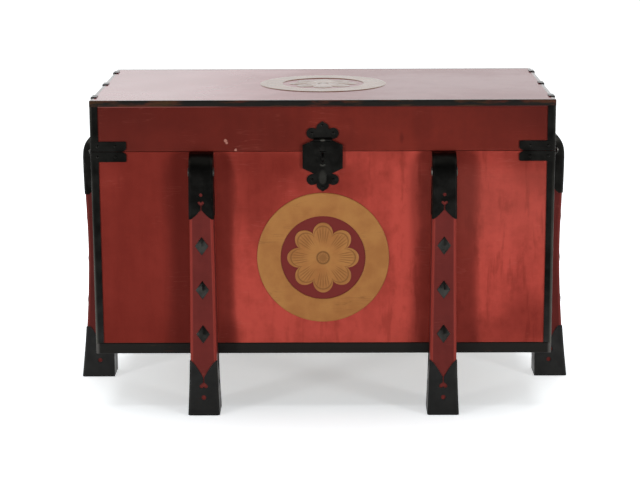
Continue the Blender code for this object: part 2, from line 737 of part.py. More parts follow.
def hinge_leaf(up, height, own, other):
    """A back hinge's leaf that narrows from its barrel to its tip, upwards or, with up = -1, downwards."""
    half = HINGE_LENGTH / 2 - RUNNING_GAP
    tip = half * HINGE_TIP_SHARE
    root_z = up * SEAM_GAP / 2
    outline = [(-half, root_z), (half, root_z), (tip, up * height), (-tip, up * height)]
    leaf = leaf_mesh([outline], HINGE_LEAF, HINGE_KNUCKLE, HINGE_KNUCKLE, HINGE_PIN, own, other)
    near, far = [share * height for share in HINGE_NAIL_SHARES]
    spots = [(-half / 2, up * near), (half / 2, up * near), (0.0, up * far)]
    return nailed(leaf, [on_leaf(x, z, HINGE_LEAF - HINGE_KNUCKLE) for x, z in spots])


def on_leaf(x, z, y):
    """A nail's place on the outer face of a leaf, at a depth y from its axis."""
    return at(x, y, z) @ turned(-math.pi / 2, "X")


def add_hinges(chest, lid):
    outer, middle = knuckle_spans(HINGE_LENGTH)
    body_mesh = hinge_leaf(-1, HINGE_BODY_LEAF_HEIGHT, outer, middle)
    lid_mesh = hinge_leaf(1, HINGE_LID_LEAF_HEIGHT, middle, outer)
    pin = rod(HINGE_PIN, -HINGE_LENGTH / 2, HINGE_LENGTH / 2)
    for side, x in (("left", -HINGE_X), ("right", HINGE_X)):
        place = at(x, HINGE_Y, SEAM_Z)
        add_part(f"hinge_body_leaf_{side}", body_mesh, IRON, chest, place)
        add_part(f"hinge_lid_leaf_{side}", lid_mesh, IRON, lid, place)
        add_part(f"hinge_pin_{side}", pin, IRON, chest, place)


# Hasp
def trefoil(root):
    """A plate's outline from a straight root at y = root up to a waist at y = 0, then three lobes."""
    top_y = 2 * PLATE_SIDE_LOBE
    right = [(PLATE_WAIST, root), (PLATE_WAIST, 0)]
    right += arc(PLATE_SIDE_X, PLATE_SIDE_RISE, PLATE_SIDE_LOBE, *PLATE_SIDE_ARC, BEND_STEPS)
    right += arc(0, top_y, PLATE_TOP_LOBE, *PLATE_TOP_ARC, BEND_STEPS // 2)
    right.append((0, top_y + PLATE_TOP_LOBE + PLATE_TIP))
    return both_sides(right)


def flap_outline():
    """The six-sided flap below its axis, with a rounded tongue at its lower end."""
    tongue = HASP_TONGUE_WIDTH / 2
    right = [(PLATE_WAIST, 0), (HASP_HALF_WIDTH, -HASP_SHOULDER), (HASP_HALF_WIDTH, -FLAP_END + HASP_HEEL),
             (PLATE_WAIST, -FLAP_END), (tongue, -FLAP_END - HASP_TONGUE_ROOT)]
    right += arc(0, -FLAP_END - HASP_TONGUE_LENGTH + tongue, tongue, 0, -90, BEND_STEPS // 2)
    return both_sides(right)


def slot_outline():
    half = HASP_SLOT_WIDTH / 2
    top = arc(0, -SLOT_START, half, 0, 180, BEND_STEPS)
    return top + arc(0, -SLOT_END + half, half, 180, 360, BEND_STEPS)


def staple_mesh():
    """A bent wire in the YZ plane: two legs out of the wall and a half-round eye, y pointing outwards."""
    curve = bpy.data.curves.new("staple", "CURVE")
    curve.dimensions = "3D"
    curve.bevel_depth = STAPLE_WIRE
    curve.bevel_resolution = 2
    curve.use_fill_caps = True
    bend = arc(STAPLE_STRAIGHT, STAPLE_Z, STAPLE_BEND, 90, -90, BEND_STEPS)
    root = -HASP_KNUCKLE
    route = [(root, STAPLE_Z + STAPLE_BEND), *bend, (root, STAPLE_Z - STAPLE_BEND)]
    spline = curve.splines.new("POLY")
    spline.points.add(len(route) - 1)
    for point, (y, z) in zip(spline.points, route):
        point.co = (0.0, y, z, 1.0)
    holder = bpy.data.objects.new("staple", curve)
    CUTTERS.objects.link(holder)
    return evaluated_mesh(holder)


def lobe_nails(waist_z, up):
    """Places of a nail on each lobe of a trefoil plate that starts at a waist and points up or down."""
    spots = [(-PLATE_SIDE_X, PLATE_SIDE_RISE), (PLATE_SIDE_X, PLATE_SIDE_RISE),
             (0, 2 * PLATE_SIDE_LOBE + PLATE_TOP_LOBE / 2)]
    return [on_leaf(x, waist_z + up * rise, HASP_LEAF - HASP_KNUCKLE) for x, rise in spots]


def staple_plate_mesh():
    """The body's plate: a trefoil that hangs from the seam, with two holes for the staple."""
    outline = [(x, -FLAP_END - y) for x, y in trefoil(HASP_Z - WALL_TOP - FLAP_END)]
    holes = []
    for eye in (STAPLE_Z - STAPLE_BEND, STAPLE_Z + STAPLE_BEND):
        holes.append([(x, y + eye) for x, y in circle(STAPLE_WIRE + FIT, DOT_STEPS)])
    mesh = plate([outline, *holes], HASP_LEAF)
    mesh.transform(at(0, HASP_LEAF - HASP_KNUCKLE, 0) @ turned(math.pi / 2, "X"))
    return nailed(mesh, lobe_nails(-FLAP_END, -1))


def add_hasp(chest, lid, hasp):
    outer, middle = knuckle_spans(HASP_BARREL_LENGTH)
    place = at(0, HASP_Y, HASP_Z) @ turned(math.pi, "Z")
    lid_outline = trefoil(LID_BOTTOM - HASP_Z)
    lid_plate = leaf_mesh([lid_outline], HASP_LEAF, HASP_KNUCKLE, HASP_KNUCKLE, HASP_PIN, outer, middle)
    flap_outlines = [flap_outline(), slot_outline()]
    flap = leaf_mesh(flap_outlines, HASP_FLAP, HASP_FLAP / 2, HASP_KNUCKLE, HASP_PIN, middle, outer)
    add_part("hasp_plate", nailed(lid_plate, lobe_nails(0, 1)), IRON, lid, place)
    half = HASP_BARREL_LENGTH / 2
    add_part("hasp_pin", rod(HASP_PIN, -half, half), IRON, lid, place)
    add_part("hasp_flap", flap, IRON, hasp, place)
    add_part("staple_plate", staple_plate_mesh(), IRON, chest, place)
    add_part("hasp_staple", staple_mesh(), IRON, chest, place)


# Medallions
def flower_outline():
    """Petals round a circle: the radius dips by the notch between neighbouring petals."""
    steps = FLOWER_PETALS * PETAL_STEPS
    points = []
    for index in range(steps):
        angle = FULL_TURN * index / steps
        crown = abs(math.cos(FLOWER_PETALS / 2 * angle)) ** FLOWER_POWER
        radius = FLOWER_RADIUS - FLOWER_NOTCH * (1 - crown)
        points.append((radius * math.cos(angle), radius * math.sin(angle)))
    return points


def add_medallion(name, place, carrier):
    inner = MEDALLION_RADIUS - MEDALLION_RING_WIDTH
    ring = plate([circle(MEDALLION_RADIUS, RING_STEPS), circle(inner, RING_STEPS)], MEDALLION_RELIEF)
    flower = plate([flower_outline()], MEDALLION_RELIEF)
    add_part(f"{name}_medallion_ring", ring, GOLD_LACQUER, carrier, place)
    add_part(f"{name}_medallion_flower", flower, GOLD_LACQUER, carrier, place)


chest = pivot("chest_carrier", (0, 0, 0))
lid = pivot("lid_hinge_axis", (0, HINGE_Y, SEAM_Z), chest)
hasp = pivot("hasp_hinge_axis", (0, HASP_Y, HASP_Z), lid)

add_rails(chest)
add_bottom(chest)
body_walls = ("front_board", "back_board", "left_end_board", "right_end_board")
add_walls(body_walls, WALL_BOTTOM, WALL_TOP, chest)
body_iron = hung_below(corner_iron(WALL_TOP - WALL_BOTTOM))
add_corner_irons("body_corner_iron", body_iron, WALL_TOP, chest)
add_legs(chest)

add_lid_top(lid)
lid_walls = ("lid_front_board", "lid_back_board", "lid_left_board", "lid_right_board")
add_walls(lid_walls, LID_BOTTOM, LID_FACE_Z - LID_TOP_BOARD - FIT, lid)
lid_iron = corner_iron(TOP_Z - EDGE_BINDING_FACE - FIT - LID_BOTTOM)
add_corner_irons("lid_corner_iron", lid_iron, LID_BOTTOM, lid)
add_edge_bindings(lid)

add_hinges(chest, lid)
add_hasp(chest, lid, hasp)
add_medallion("front", facing(0.0, BOARD_Y + FIT, MEDALLION_Z), chest)
add_medallion("lid", at(0, 0, LID_FACE_Z + FIT), lid)
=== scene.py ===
# %% [markdown]
# # Dressing an armor chest
# The frame is the working chest: boards, legs, ironwork, a lid on two hinges and a hasp, all at their real
# size. This lesson gives every surface its finish: old red lacquer, black lacquer, blackened iron, gold
# relief and bare wood. A shape that a maker would soften, hammer or pierce is made again as a finer
# surface in the place of its plain solid, and everything else keeps the solid and only gets a finish.

# %% Load the frame
import json
import math

import bmesh
import bpy
import numpy as np
from mathutils import Matrix, Vector

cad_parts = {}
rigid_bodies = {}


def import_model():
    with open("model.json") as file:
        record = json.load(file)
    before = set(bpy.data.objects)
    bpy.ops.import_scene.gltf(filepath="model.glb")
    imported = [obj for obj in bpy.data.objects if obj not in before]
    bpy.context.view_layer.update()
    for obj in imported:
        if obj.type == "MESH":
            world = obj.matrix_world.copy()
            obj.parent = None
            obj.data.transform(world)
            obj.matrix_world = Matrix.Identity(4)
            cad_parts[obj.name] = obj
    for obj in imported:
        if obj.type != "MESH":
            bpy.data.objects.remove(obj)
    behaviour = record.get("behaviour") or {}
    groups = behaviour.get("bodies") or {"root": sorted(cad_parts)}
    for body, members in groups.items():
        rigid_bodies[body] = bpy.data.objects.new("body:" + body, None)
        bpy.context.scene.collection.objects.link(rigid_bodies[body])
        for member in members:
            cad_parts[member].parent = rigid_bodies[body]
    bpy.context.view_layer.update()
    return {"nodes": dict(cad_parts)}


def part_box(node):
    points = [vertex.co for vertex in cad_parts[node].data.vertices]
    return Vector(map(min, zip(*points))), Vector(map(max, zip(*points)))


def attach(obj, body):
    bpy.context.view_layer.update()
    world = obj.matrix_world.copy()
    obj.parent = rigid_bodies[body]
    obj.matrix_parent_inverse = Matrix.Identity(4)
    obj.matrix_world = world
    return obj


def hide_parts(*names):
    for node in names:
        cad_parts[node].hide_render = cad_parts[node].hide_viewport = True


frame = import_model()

NODES = frame["nodes"]

# %% [markdown]
# ## Measures
# A joiner measures the finished carcass before fitting the trim, and this cell does the same: the heights
# and widths that the trim must meet are read from the frame, so the trim follows if the chest changes.
# Typing the numbers in again would be quicker, but they would part from the frame at its next change.

# %% Measures of the box
FIT = 0.0003
BINDING = 0.0015
BOARD = 0.015
RAIL_LOW, RAIL_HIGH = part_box("base_rail_front")
WALL_LOW, WALL_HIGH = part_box("front_board")
HALF_WIDTH = RAIL_HIGH.x
HALF_DEPTH = -RAIL_LOW.y
WALL_X = WALL_HIGH.x
WALL_Y = -WALL_LOW.y
WALL_TOP = WALL_HIGH.z
LID_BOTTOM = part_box("lid_front_board")[0].z
SEAM_Z = (WALL_TOP + LID_BOTTOM) / 2
LID_FACE_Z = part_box("lid_top_board")[1].z
LID_INNER_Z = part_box("lid_top_board")[0].z
TOP_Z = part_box("lid_edge_binding_front")[1].z
print("seam at", round(SEAM_Z, 4), "lid face at", round(LID_FACE_Z, 4), "lid edge at", round(TOP_Z, 4))

# %% Measures of the legs and the front ring
LEG_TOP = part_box("leg_front_left")[1].z
CAP_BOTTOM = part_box("leg_cap_front_left")[0].z
SHOE_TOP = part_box("leg_shoe_front_left")[1].z
LEG_X = (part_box("leg_front_right")[0].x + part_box("leg_front_right")[1].x) / 2
RING_LOW, RING_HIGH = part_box("front_medallion_ring")
MEDALLION_RADIUS = (RING_HIGH.x - RING_LOW.x) / 2
MEDALLION_Z = (RING_HIGH.z + RING_LOW.z) / 2
MEDALLION_RELIEF = RING_HIGH.y - RING_LOW.y
RING_WIDTH = 0.0475
INNER_RADIUS = MEDALLION_RADIUS - RING_WIDTH
print("legs to", round(LEG_TOP, 4), "ring radius", round(MEDALLION_RADIUS, 4))

# %% [markdown]
# ## Finishes, part one: effects that several finishes share
# Old lacquer isn't one colour. It clouds, streaks where it was wiped and crackles, and iron keeps the
# marks of the hammer. An image could be laid over the pieces, but it would smear round their edges, so
# each effect is worked out in the shader. It is a node group with named inputs, built once and placed in
# each finish with its own values. All groups read Object coordinates, because every piece sits at the
# origin with its place in its mesh.

# %% Node helpers
def node(tree, kind, inputs=None, **settings):
    """Add a node: settings are its properties, and an input takes a value or a link from a socket."""
    made = tree.nodes.new("ShaderNode" + kind)
    for key, value in settings.items():
        setattr(made, key, value)
    for key, value in (inputs or {}).items():
        if isinstance(value, bpy.types.NodeSocket):
            tree.links.new(value, made.inputs[key])
        else:
            made.inputs[key].default_value = value
    return made


def maths(tree, operation, *values):
    """The result of one Math node over values or links."""
    return node(tree, "Math", dict(enumerate(values)), operation=operation).outputs[0]


def spread(tree, value, start, end, low=0.0, high=1.0):
    """Map a value from one range to another with a smooth start and end."""
    ranges = {"Value": value, "From Min": start, "From Max": end, "To Min": low, "To Max": high}
    return node(tree, "MapRange", ranges, interpolation_type="SMOOTHSTEP").outputs["Result"]


def noise(tree, place, scale, detail=4.0, roughness=0.55):
    """Soft noise about a half. The scale is roughly how many patches lie in a metre."""
    fields = {"Vector": place, "Scale": scale, "Detail": detail, "Roughness": roughness}
    return node(tree, "TexNoise", fields).outputs["Fac"]


print("node helpers for Blender", bpy.app.version_string)

# %% [markdown]
# ### Marks of the hammer
# A smith's hammer leaves shallow round dents, close together. The cells of a Voronoi pattern have that
# look: the distance from a cell's middle is the dent, and a little noise roughens it. Modelled dents would
# cost thousands of faces for marks a tenth of a millimetre deep.

# %% Hammered iron
PLACE = ("Vector", (0.0, 0.0, 0.0))
IRON_GRAIN = 420.0
IRON_GRAIN_SHARE = 0.3
IRON_CLOUDS = 38.0
IRON_TONES = (0.32, 0.70)


def new_group(name, inputs, outputs):
    """A shader node group with named sockets. Inputs map a label to its kind and default value."""
    tree = bpy.data.node_groups.new(name, "ShaderNodeTree")
    for label, (kind, value) in inputs.items():
        socket = tree.interface.new_socket(label, in_out="INPUT", socket_type="NodeSocket" + kind)
        socket.default_value = value
    for label in outputs:
        tree.interface.new_socket(label, in_out="OUTPUT", socket_type="NodeSocketFloat")
    source = tree.nodes.new("NodeGroupInput")
    sink = tree.nodes.new("NodeGroupOutput")
    return tree, source.outputs, sink.inputs


def build_hammered():
    """Shallow dents from cell distances, softened by noise, and a slow change of tone."""
    tree, given, out = new_group("hammered", {"Place": PLACE, "Dents": ("Float", 90.0)}, ("Tone", "Height"))
    cells = node(tree, "TexVoronoi", {"Vector": given["Place"], "Scale": given["Dents"]}, feature="SMOOTH_F1")
    grain = maths(tree, "MULTIPLY", noise(tree, given["Place"], IRON_GRAIN, detail=3.0), IRON_GRAIN_SHARE)
    height = maths(tree, "ADD", cells.outputs["Distance"], grain)
    tone = noise(tree, given["Place"], IRON_CLOUDS)
    tree.links.new(spread(tree, tone, *IRON_TONES), out["Tone"])
    tree.links.new(height, out["Height"])
    return tree


HAMMERED = build_hammered()
print("group:", HAMMERED.name, [socket.name for socket in HAMMERED.interface.items_tree])

# %% [markdown]
# ### Old lacquer
# Lacquer is wiped on and ages unevenly: cloudy patches, upright streaks, a fine mottle and thin level
# scuffs. Each is noise, read at a place that may be squeezed along one axis. A group for each would do,
# but one that gives them all as masks is quicker to place, and a finish takes those that it needs.

# %% Clouds, streaks and scuffs
STREAK_SQUEEZE = (26.0, 26.0, 2.2)
SCRATCH_SQUEEZE = (5.0, 5.0, 60.0)
SCUFF_PATCH = 14.0
SKIN_GRAIN = 240.0
SKIN_WAVES = 16.0
MOTTLE_GRAIN = 46.0
USUAL_PATCH = 6.0
CLOUD_BAND = (0.3, 0.7)
MOTTLE_BAND = (0.32, 0.68)
SCUFF_BAND = (0.52, 0.66)
SCRATCH_SCALE = 1.6
SCRATCH_WIDTH = 0.02
SKIN_SHARE = 0.25


def stretched(tree, place, scale):
    """A place scaled on each axis, so that a pattern read there is squeezed or drawn out."""
    return node(tree, "VectorMath", {0: place, 1: scale}, operation="MULTIPLY").outputs[0]


def build_lacquer_age():
    """Clouds from slow noise, upright streaks from noise stretched in height, and mottle from quick noise.

    Scuffs are thin level lines where a stretched noise crosses its middle, kept inside patches. The height
    is slow waves with a quarter share of fine grain.
    """
    tree, given, out = new_group("lacquer_age", {"Place": PLACE, "Patch": ("Float", USUAL_PATCH)},
                                 ("Clouds", "Streaks", "Mottle", "Scuffs", "Height"))
    clouds = noise(tree, given["Place"], given["Patch"], detail=5.0)
    upright = stretched(tree, given["Place"], STREAK_SQUEEZE)
    streaks = noise(tree, upright, 1.0, detail=3.0)
    level = stretched(tree, given["Place"], SCRATCH_SQUEEZE)
    scratch = noise(tree, level, SCRATCH_SCALE, detail=2.0)
    scratch = maths(tree, "ABSOLUTE", maths(tree, "SUBTRACT", scratch, 0.5))
    patches = spread(tree, noise(tree, given["Place"], SCUFF_PATCH, detail=3.0), *SCUFF_BAND)
    scuffs = maths(tree, "MULTIPLY", spread(tree, scratch, SCRATCH_WIDTH, 0.0), patches)
    skin = noise(tree, given["Place"], SKIN_GRAIN, detail=2.0)
    waves = noise(tree, given["Place"], SKIN_WAVES, detail=2.0)
    mottle = noise(tree, given["Place"], MOTTLE_GRAIN, detail=6.0, roughness=0.65)
    height = maths(tree, "ADD", maths(tree, "MULTIPLY", skin, SKIN_SHARE), waves)
    tree.links.new(spread(tree, clouds, *CLOUD_BAND), out["Clouds"])
    tree.links.new(spread(tree, streaks, *CLOUD_BAND), out["Streaks"])
    tree.links.new(spread(tree, mottle, *MOTTLE_BAND), out["Mottle"])
    tree.links.new(scuffs, out["Scuffs"])
    tree.links.new(height, out["Height"])
    return tree


LACQUER_AGE = build_lacquer_age()
print("group:", LACQUER_AGE.name, [socket.name for socket in LACQUER_AGE.interface.items_tree])

# %% [markdown]
# ### Rubbed-through patches
# Where hands and cloths rub an edge, black lacquer wears off in long ragged patches. They could be painted
# on, edge by edge. Noise that is cut off at a level gives such a mask anywhere, and moving the level makes
# the patches grow or shrink, so one value sets how worn an edge is.

# %% Rubbed patches
RUB_SQUEEZE = (9.0, 9.0, 60.0)
RUB_EDGE = 0.10


def build_rubbed():
    """Patches where a dark finish has worn through: noise cut off at a level that the amount moves."""
    tree, given, out = new_group("rubbed", {"Place": PLACE, "Amount": ("Float", 0.5)}, ("Mask",))
    long_place = stretched(tree, given["Place"], RUB_SQUEEZE)
    long_patches = noise(tree, long_place, 1.0, detail=5.0, roughness=0.62)
    level = maths(tree, "SUBTRACT", 1.0, given["Amount"])
    over = maths(tree, "SUBTRACT", long_patches, level)
    tree.links.new(spread(tree, over, 0.0, RUB_EDGE), out["Mask"])
    return tree


RUBBED = build_rubbed()
print("group:", RUBBED.name, [socket.name for socket in RUBBED.interface.items_tree])

# %% [markdown]
# ### Wood grain, and which side is inside
# A sawn board shows long bands and fine pores, which is noise drawn out along the board. The boards are
# lacquered outside and bare inside. Two pieces for each board would leave a seam at every edge, so a
# second group tells which side a point is on, and one finish can show both.

# %% Grain and inner side
BAND_SQUEEZE = (0.9, 34.0, 34.0)
PORE_SQUEEZE = (9.0, 420.0, 420.0)
BAND_SHARE = 0.75
PORE_SHARE = 0.45
PORE_RELIEF = 0.6
GRAIN_BAND = (0.42, 0.80)


def build_grain():
    """Wood grain: noise drawn out along x, or along y in the end boards, in broad bands with fine pores.

    A Mix node keeps its two vectors in inputs 4 and 5, and gives the mixed one in output 1.
    """
    tree, given, out = new_group("grain", {"Place": PLACE}, ("Rings", "Height"))
    part = node(tree, "SeparateXYZ", {0: given["Place"]}).outputs
    turned = node(tree, "CombineXYZ", {0: part["Y"], 1: part["X"], 2: part["Z"]}).outputs[0]
    at_end = maths(tree, "GREATER_THAN", maths(tree, "ABSOLUTE", part["X"]), WALL_X - BOARD - FIT)
    chosen = node(tree, "Mix", {0: at_end, 4: given["Place"], 5: turned}, data_type="VECTOR").outputs[1]
    bands = noise(tree, stretched(tree, chosen, BAND_SQUEEZE), 1.0, detail=3.0)
    pores = noise(tree, stretched(tree, chosen, PORE_SQUEEZE), 1.0, detail=3.0)
    rings = maths(tree, "MULTIPLY_ADD", pores, PORE_SHARE, maths(tree, "MULTIPLY", bands, BAND_SHARE))
    tree.links.new(spread(tree, rings, *GRAIN_BAND), out["Rings"])
    height = maths(tree, "ADD", maths(tree, "MULTIPLY", pores, PORE_RELIEF), bands)
    tree.links.new(height, out["Height"])
    return tree


def build_inner_side():
    """One inside the box and the lid, nought outside: how far a point lies within the boards' middle."""
    tree, given, out = new_group("inner_side", {"Place": PLACE}, ("Mask",))
    part = node(tree, "SeparateXYZ", {0: given["Place"]}).outputs
    within_x = maths(tree, "LESS_THAN", maths(tree, "ABSOLUTE", part["X"]), WALL_X - BOARD / 2)
    within_y = maths(tree, "LESS_THAN", maths(tree, "ABSOLUTE", part["Y"]), WALL_Y - BOARD / 2)
    below_top = maths(tree, "LESS_THAN", part["Z"], (LID_FACE_Z + LID_INNER_Z) / 2)
    flat = maths(tree, "MULTIPLY", within_x, within_y)
    tree.links.new(maths(tree, "MULTIPLY", flat, below_top), out["Mask"])
    return tree


GRAIN = build_grain()
INNER_SIDE = build_inner_side()
print("node groups:", [group.name for group in bpy.data.node_groups])

# %% [markdown]
# ## Finishes, part two: wood and red lacquer
# Inside, the wood was never lacquered. Its finish is the simplest one, so it comes first: a colour between
# light and dark wood by the grain's rings, and a bump from its pores. A bump is enough here, because
# nobody sees the edge of a pore.

# %% Bare wood
WOOD_LIGHT = (0.34, 0.19, 0.085)
WOOD_DARK = (0.20, 0.098, 0.040)
WOOD_RELIEF = 0.0002


def blended(tree, factor, first, second):
    """A colour between two colours. A Mix node has them in inputs 6 and 7, and the result in output 2."""
    mix = node(tree, "Mix", data_type="RGBA")
    for socket, value in ((mix.inputs[0], factor), (mix.inputs[6], first), (mix.inputs[7], second)):
        if isinstance(value, bpy.types.NodeSocket):
            tree.links.new(value, socket)
        elif isinstance(value, tuple):
            socket.default_value = (*value, 1.0)
        else:
            socket.default_value = value
    return mix.outputs[2]


def use_group(tree, group, **inputs):
    """Place a group in a material and return its outputs. Input labels have a space for each underscore."""
    made = node(tree, "Group", node_tree=group)
    for label, value in inputs.items():
        socket = made.inputs[label.replace("_", " ")]
        if isinstance(value, bpy.types.NodeSocket):
            tree.links.new(value, socket)
        else:
            socket.default_value = value
    return made.outputs


def new_finish(name, **sockets):
    """An empty material: its tree, its shader with plain values set, and its Object coordinates."""
    material = bpy.data.materials.new(name)
    material.use_nodes = True
    tree = material.node_tree
    shader = tree.nodes["Principled BSDF"]
    for label, value in sockets.items():
        shader.inputs[label.replace("_", " ")].default_value = value
    place = node(tree, "TexCoord").outputs["Object"]
    return material, tree, shader, place


def bumped(tree, shader, height, distance, strength=1.0):
    """Feed a height to the shader's normal. The distance is the real depth of the relief in metres."""
    bump = node(tree, "Bump", {"Height": height, "Distance": distance, "Strength": strength})
    tree.links.new(bump.outputs["Normal"], shader.inputs["Normal"])


def wood_colour(tree, place):
    """Wood at a place: its colour, light between the rings and dark on them, and its height."""
    grain = use_group(tree, GRAIN, Place=place)
    return blended(tree, grain["Rings"], WOOD_LIGHT, WOOD_DARK), grain["Height"]


def bare_wood():
    """Planed wood without lacquer: the grain's colour and a shallow relief of its pores."""
    material, tree, shader, place = new_finish("plain_wood", Roughness=0.62, Specular_IOR_Level=0.3)
    colour, height = wood_colour(tree, place)
    tree.links.new(colour, shader.inputs["Base Color"])
    bumped(tree, shader, height, WOOD_RELIEF)
    return material


PLAIN_WOOD = bare_wood()
print("finish:", PLAIN_WOOD.name)

# %% [markdown]
# ### Stains and painted shade on the front
# The front isn't evenly red. Water ran down, some places were touched more than others, and a painted
# shade darkens the red beside the legs, where their shadows fall. A painted map would tie the finish to
# one picture, so a zone is a formula of the place: soft spots with a size and a darkness, painted shade
# beside the legs, and drips of noise.

# %% Soft spots
# A positive darkness darkens and a negative one lightens. Most spots are stains; the lightening spot at x =
# 0.172 beside the right leg is painted light that thins the lamp's shadow of that leg.
SMUDGES = (((0.045, 0.470), (0.085, 0.055), 0.40), ((-0.115, 0.500), (0.125, 0.070), 0.62),
           ((-0.130, 0.420), (0.085, 0.085), 0.46), ((0.430, 0.495), (0.090, 0.080), 0.46),
           ((-0.130, 0.235), (0.090, 0.120), -0.22), ((0.240, 0.525), (0.260, 0.045), 0.26),
           ((0.420, 0.180), (0.095, 0.085), 0.54), ((0.330, 0.160), (0.070, 0.050), 0.34),
           ((-0.020, 0.450), (0.120, 0.045), 0.22), ((-0.420, 0.170), (0.110, 0.060), 0.20),
           ((-0.190, 0.150), (0.040, 0.055), 0.50), ((-0.310, 0.150), (0.050, 0.055), 0.34),
           ((0.172, 0.330), (0.050, 0.230), -0.42), ((-0.435, 0.460), (0.060, 0.070), -0.32),
           ((-0.068, 0.508), (0.045, 0.040), 0.34), ((0.200, 0.514), (0.050, 0.050), -0.40),
           ((0.388, 0.515), (0.055, 0.035), 0.36), ((0.345, 0.350), (0.075, 0.140), -0.12),
           ((-0.066, 0.180), (0.050, 0.045), -0.16))
LID_SMUDGES = (((-0.075, 0.560), (0.065, 0.070), 0.34), ((0.060, 0.545), (0.055, 0.035), 0.26),
               ((0.196, 0.575), (0.030, 0.080), 0.36), ((0.440, 0.600), (0.090, 0.060), 0.40),
               ((-0.430, 0.615), (0.080, 0.045), 0.36), ((-0.320, 0.545), (0.110, 0.040), -0.40),
               ((0.157, 0.555), (0.006, 0.016), 0.50))
SPOT_CORE = 0.8


def near(tree, place, centre, size):
    """How near a point is to a centre: one there, nought at the size away, with a size for each axis."""
    off = node(tree, "VectorMath", {0: place, 1: centre}, operation="SUBTRACT").outputs[0]
    scale = tuple(1 / side for side in size)
    away = node(tree, "VectorMath", {0: stretched(tree, off, scale)}, operation="LENGTH").outputs["Value"]
    return maths(tree, "SUBTRACT", 1.0, away)


def smudged(tree, place, zone, smudges):
    """Multiply a tone by soft spots on the front, each with its place, its size and how dark it is."""
    for (x, z), (wide, high), dark in smudges:
        close = near(tree, place, (x, -WALL_Y, z), (wide, wide, high))
        zone = maths(tree, "MULTIPLY", zone, spread(tree, close, 0.0, SPOT_CORE, 1.0, 1.0 - dark))
    return zone


print("soft spots:", len(SMUDGES), "on the body,", len(LID_SMUDGES), "on the lid")

# %% Zones of the body and the lid
DULL_END = (-0.30, -0.19)
DULL_TONE = 0.27
# Painted shade beside the front legs, on top of the lamps' own shadows of the legs.
LEG_SHADE_SHIFT = 0.004
LEG_SHADE_REACH = (0.048, 0.070)
LEG_SHADE_TONE = 0.45
DRIP_SQUEEZE = (55.0, 55.0, 9.0)
BLOTCH_SQUEEZE = (24.0, 24.0, 13.0)
BLOTCH_SHARE = 0.8
DRIP_BAND = (0.54, 0.68)
BLOTCH_BAND = (0.52, 0.66)
STAIN_REACH = (-0.20, 0.34)
STAIN_SHARES = (0.14, 0.34)
LID_REDDEST_X = 0.11
LID_UPPER_TONE = 0.8
LID_BROWN_REACH = 0.46
LID_END_TONE = 0.36


def panel_zone(tree, place):
    """The front's tone: darker at the left end, with painted shade beside each leg, and stained."""
    part = node(tree, "SeparateXYZ", {0: place}).outputs
    left = spread(tree, part["X"], *DULL_END, DULL_TONE, 1.0)
    off_middle = maths(tree, "ABSOLUTE", maths(tree, "SUBTRACT", part["X"], LEG_SHADE_SHIFT))
    beside = maths(tree, "ABSOLUTE", maths(tree, "SUBTRACT", off_middle, LEG_X + LEG_SHADE_SHIFT))
    zone = maths(tree, "MULTIPLY", left, spread(tree, beside, *LEG_SHADE_REACH, LEG_SHADE_TONE, 1.0))
    zone = smudged(tree, place, zone, SMUDGES)
    drips = spread(tree, noise(tree, stretched(tree, place, DRIP_SQUEEZE), 1.0), *DRIP_BAND)
    ragged = noise(tree, stretched(tree, place, BLOTCH_SQUEEZE), 1.0, detail=5.0, roughness=0.62)
    blotches = maths(tree, "MULTIPLY", spread(tree, ragged, *BLOTCH_BAND), BLOTCH_SHARE)
    share = spread(tree, part["X"], *STAIN_REACH, *STAIN_SHARES)
    stains = maths(tree, "MULTIPLY", maths(tree, "MAXIMUM", drips, blotches), share)
    return maths(tree, "MULTIPLY", zone, maths(tree, "SUBTRACT", 1.0, stains))


def lid_zone(tree, place):
    """The lid's front: a little redder right of the middle and towards the seam, browner at both ends."""
    part = node(tree, "SeparateXYZ", {0: place}).outputs
    away = maths(tree, "ABSOLUTE", maths(tree, "SUBTRACT", part["X"], LID_REDDEST_X))
    low = spread(tree, part["Z"], SEAM_Z, TOP_Z, 1.0, LID_UPPER_TONE)
    zone = maths(tree, "MULTIPLY", low, spread(tree, away, 0.0, LID_BROWN_REACH, 1.0, LID_END_TONE))
    return smudged(tree, place, zone, LID_SMUDGES)


print("painted_shade beside the legs at x =", round(-LEG_X, 3), "and", round(LEG_X, 3))

# %% [markdown]
# ### Red lacquer
# Red lacquer is pigment in sap over wood: the colour lies under a clear skin, which is dull where it has
# aged and bright where hands polish it. One flat red would look like plastic, so a finish mixes a deep and
# a bright red by clouds, streaks, mottle and its zone. The front kept its red, the lid has gone browner,
# and the body's red darkens towards its left end.

# %% Red between two tones
SCUFF_PINK = (0.42, 0.13, 0.10)
LACQUER_DEPTH = 0.00018
CLOUD_SHARE = 0.28
STREAK_SHARE = 0.20
MOTTLE_SHARE = 0.16
STEADY_SHARE = 0.48
SCUFF_SHARE = 0.10
CLOUD_GLOSS = 0.06


def plain_zone(tree, place):
    """No zone: the same tone everywhere."""
    return 1.0


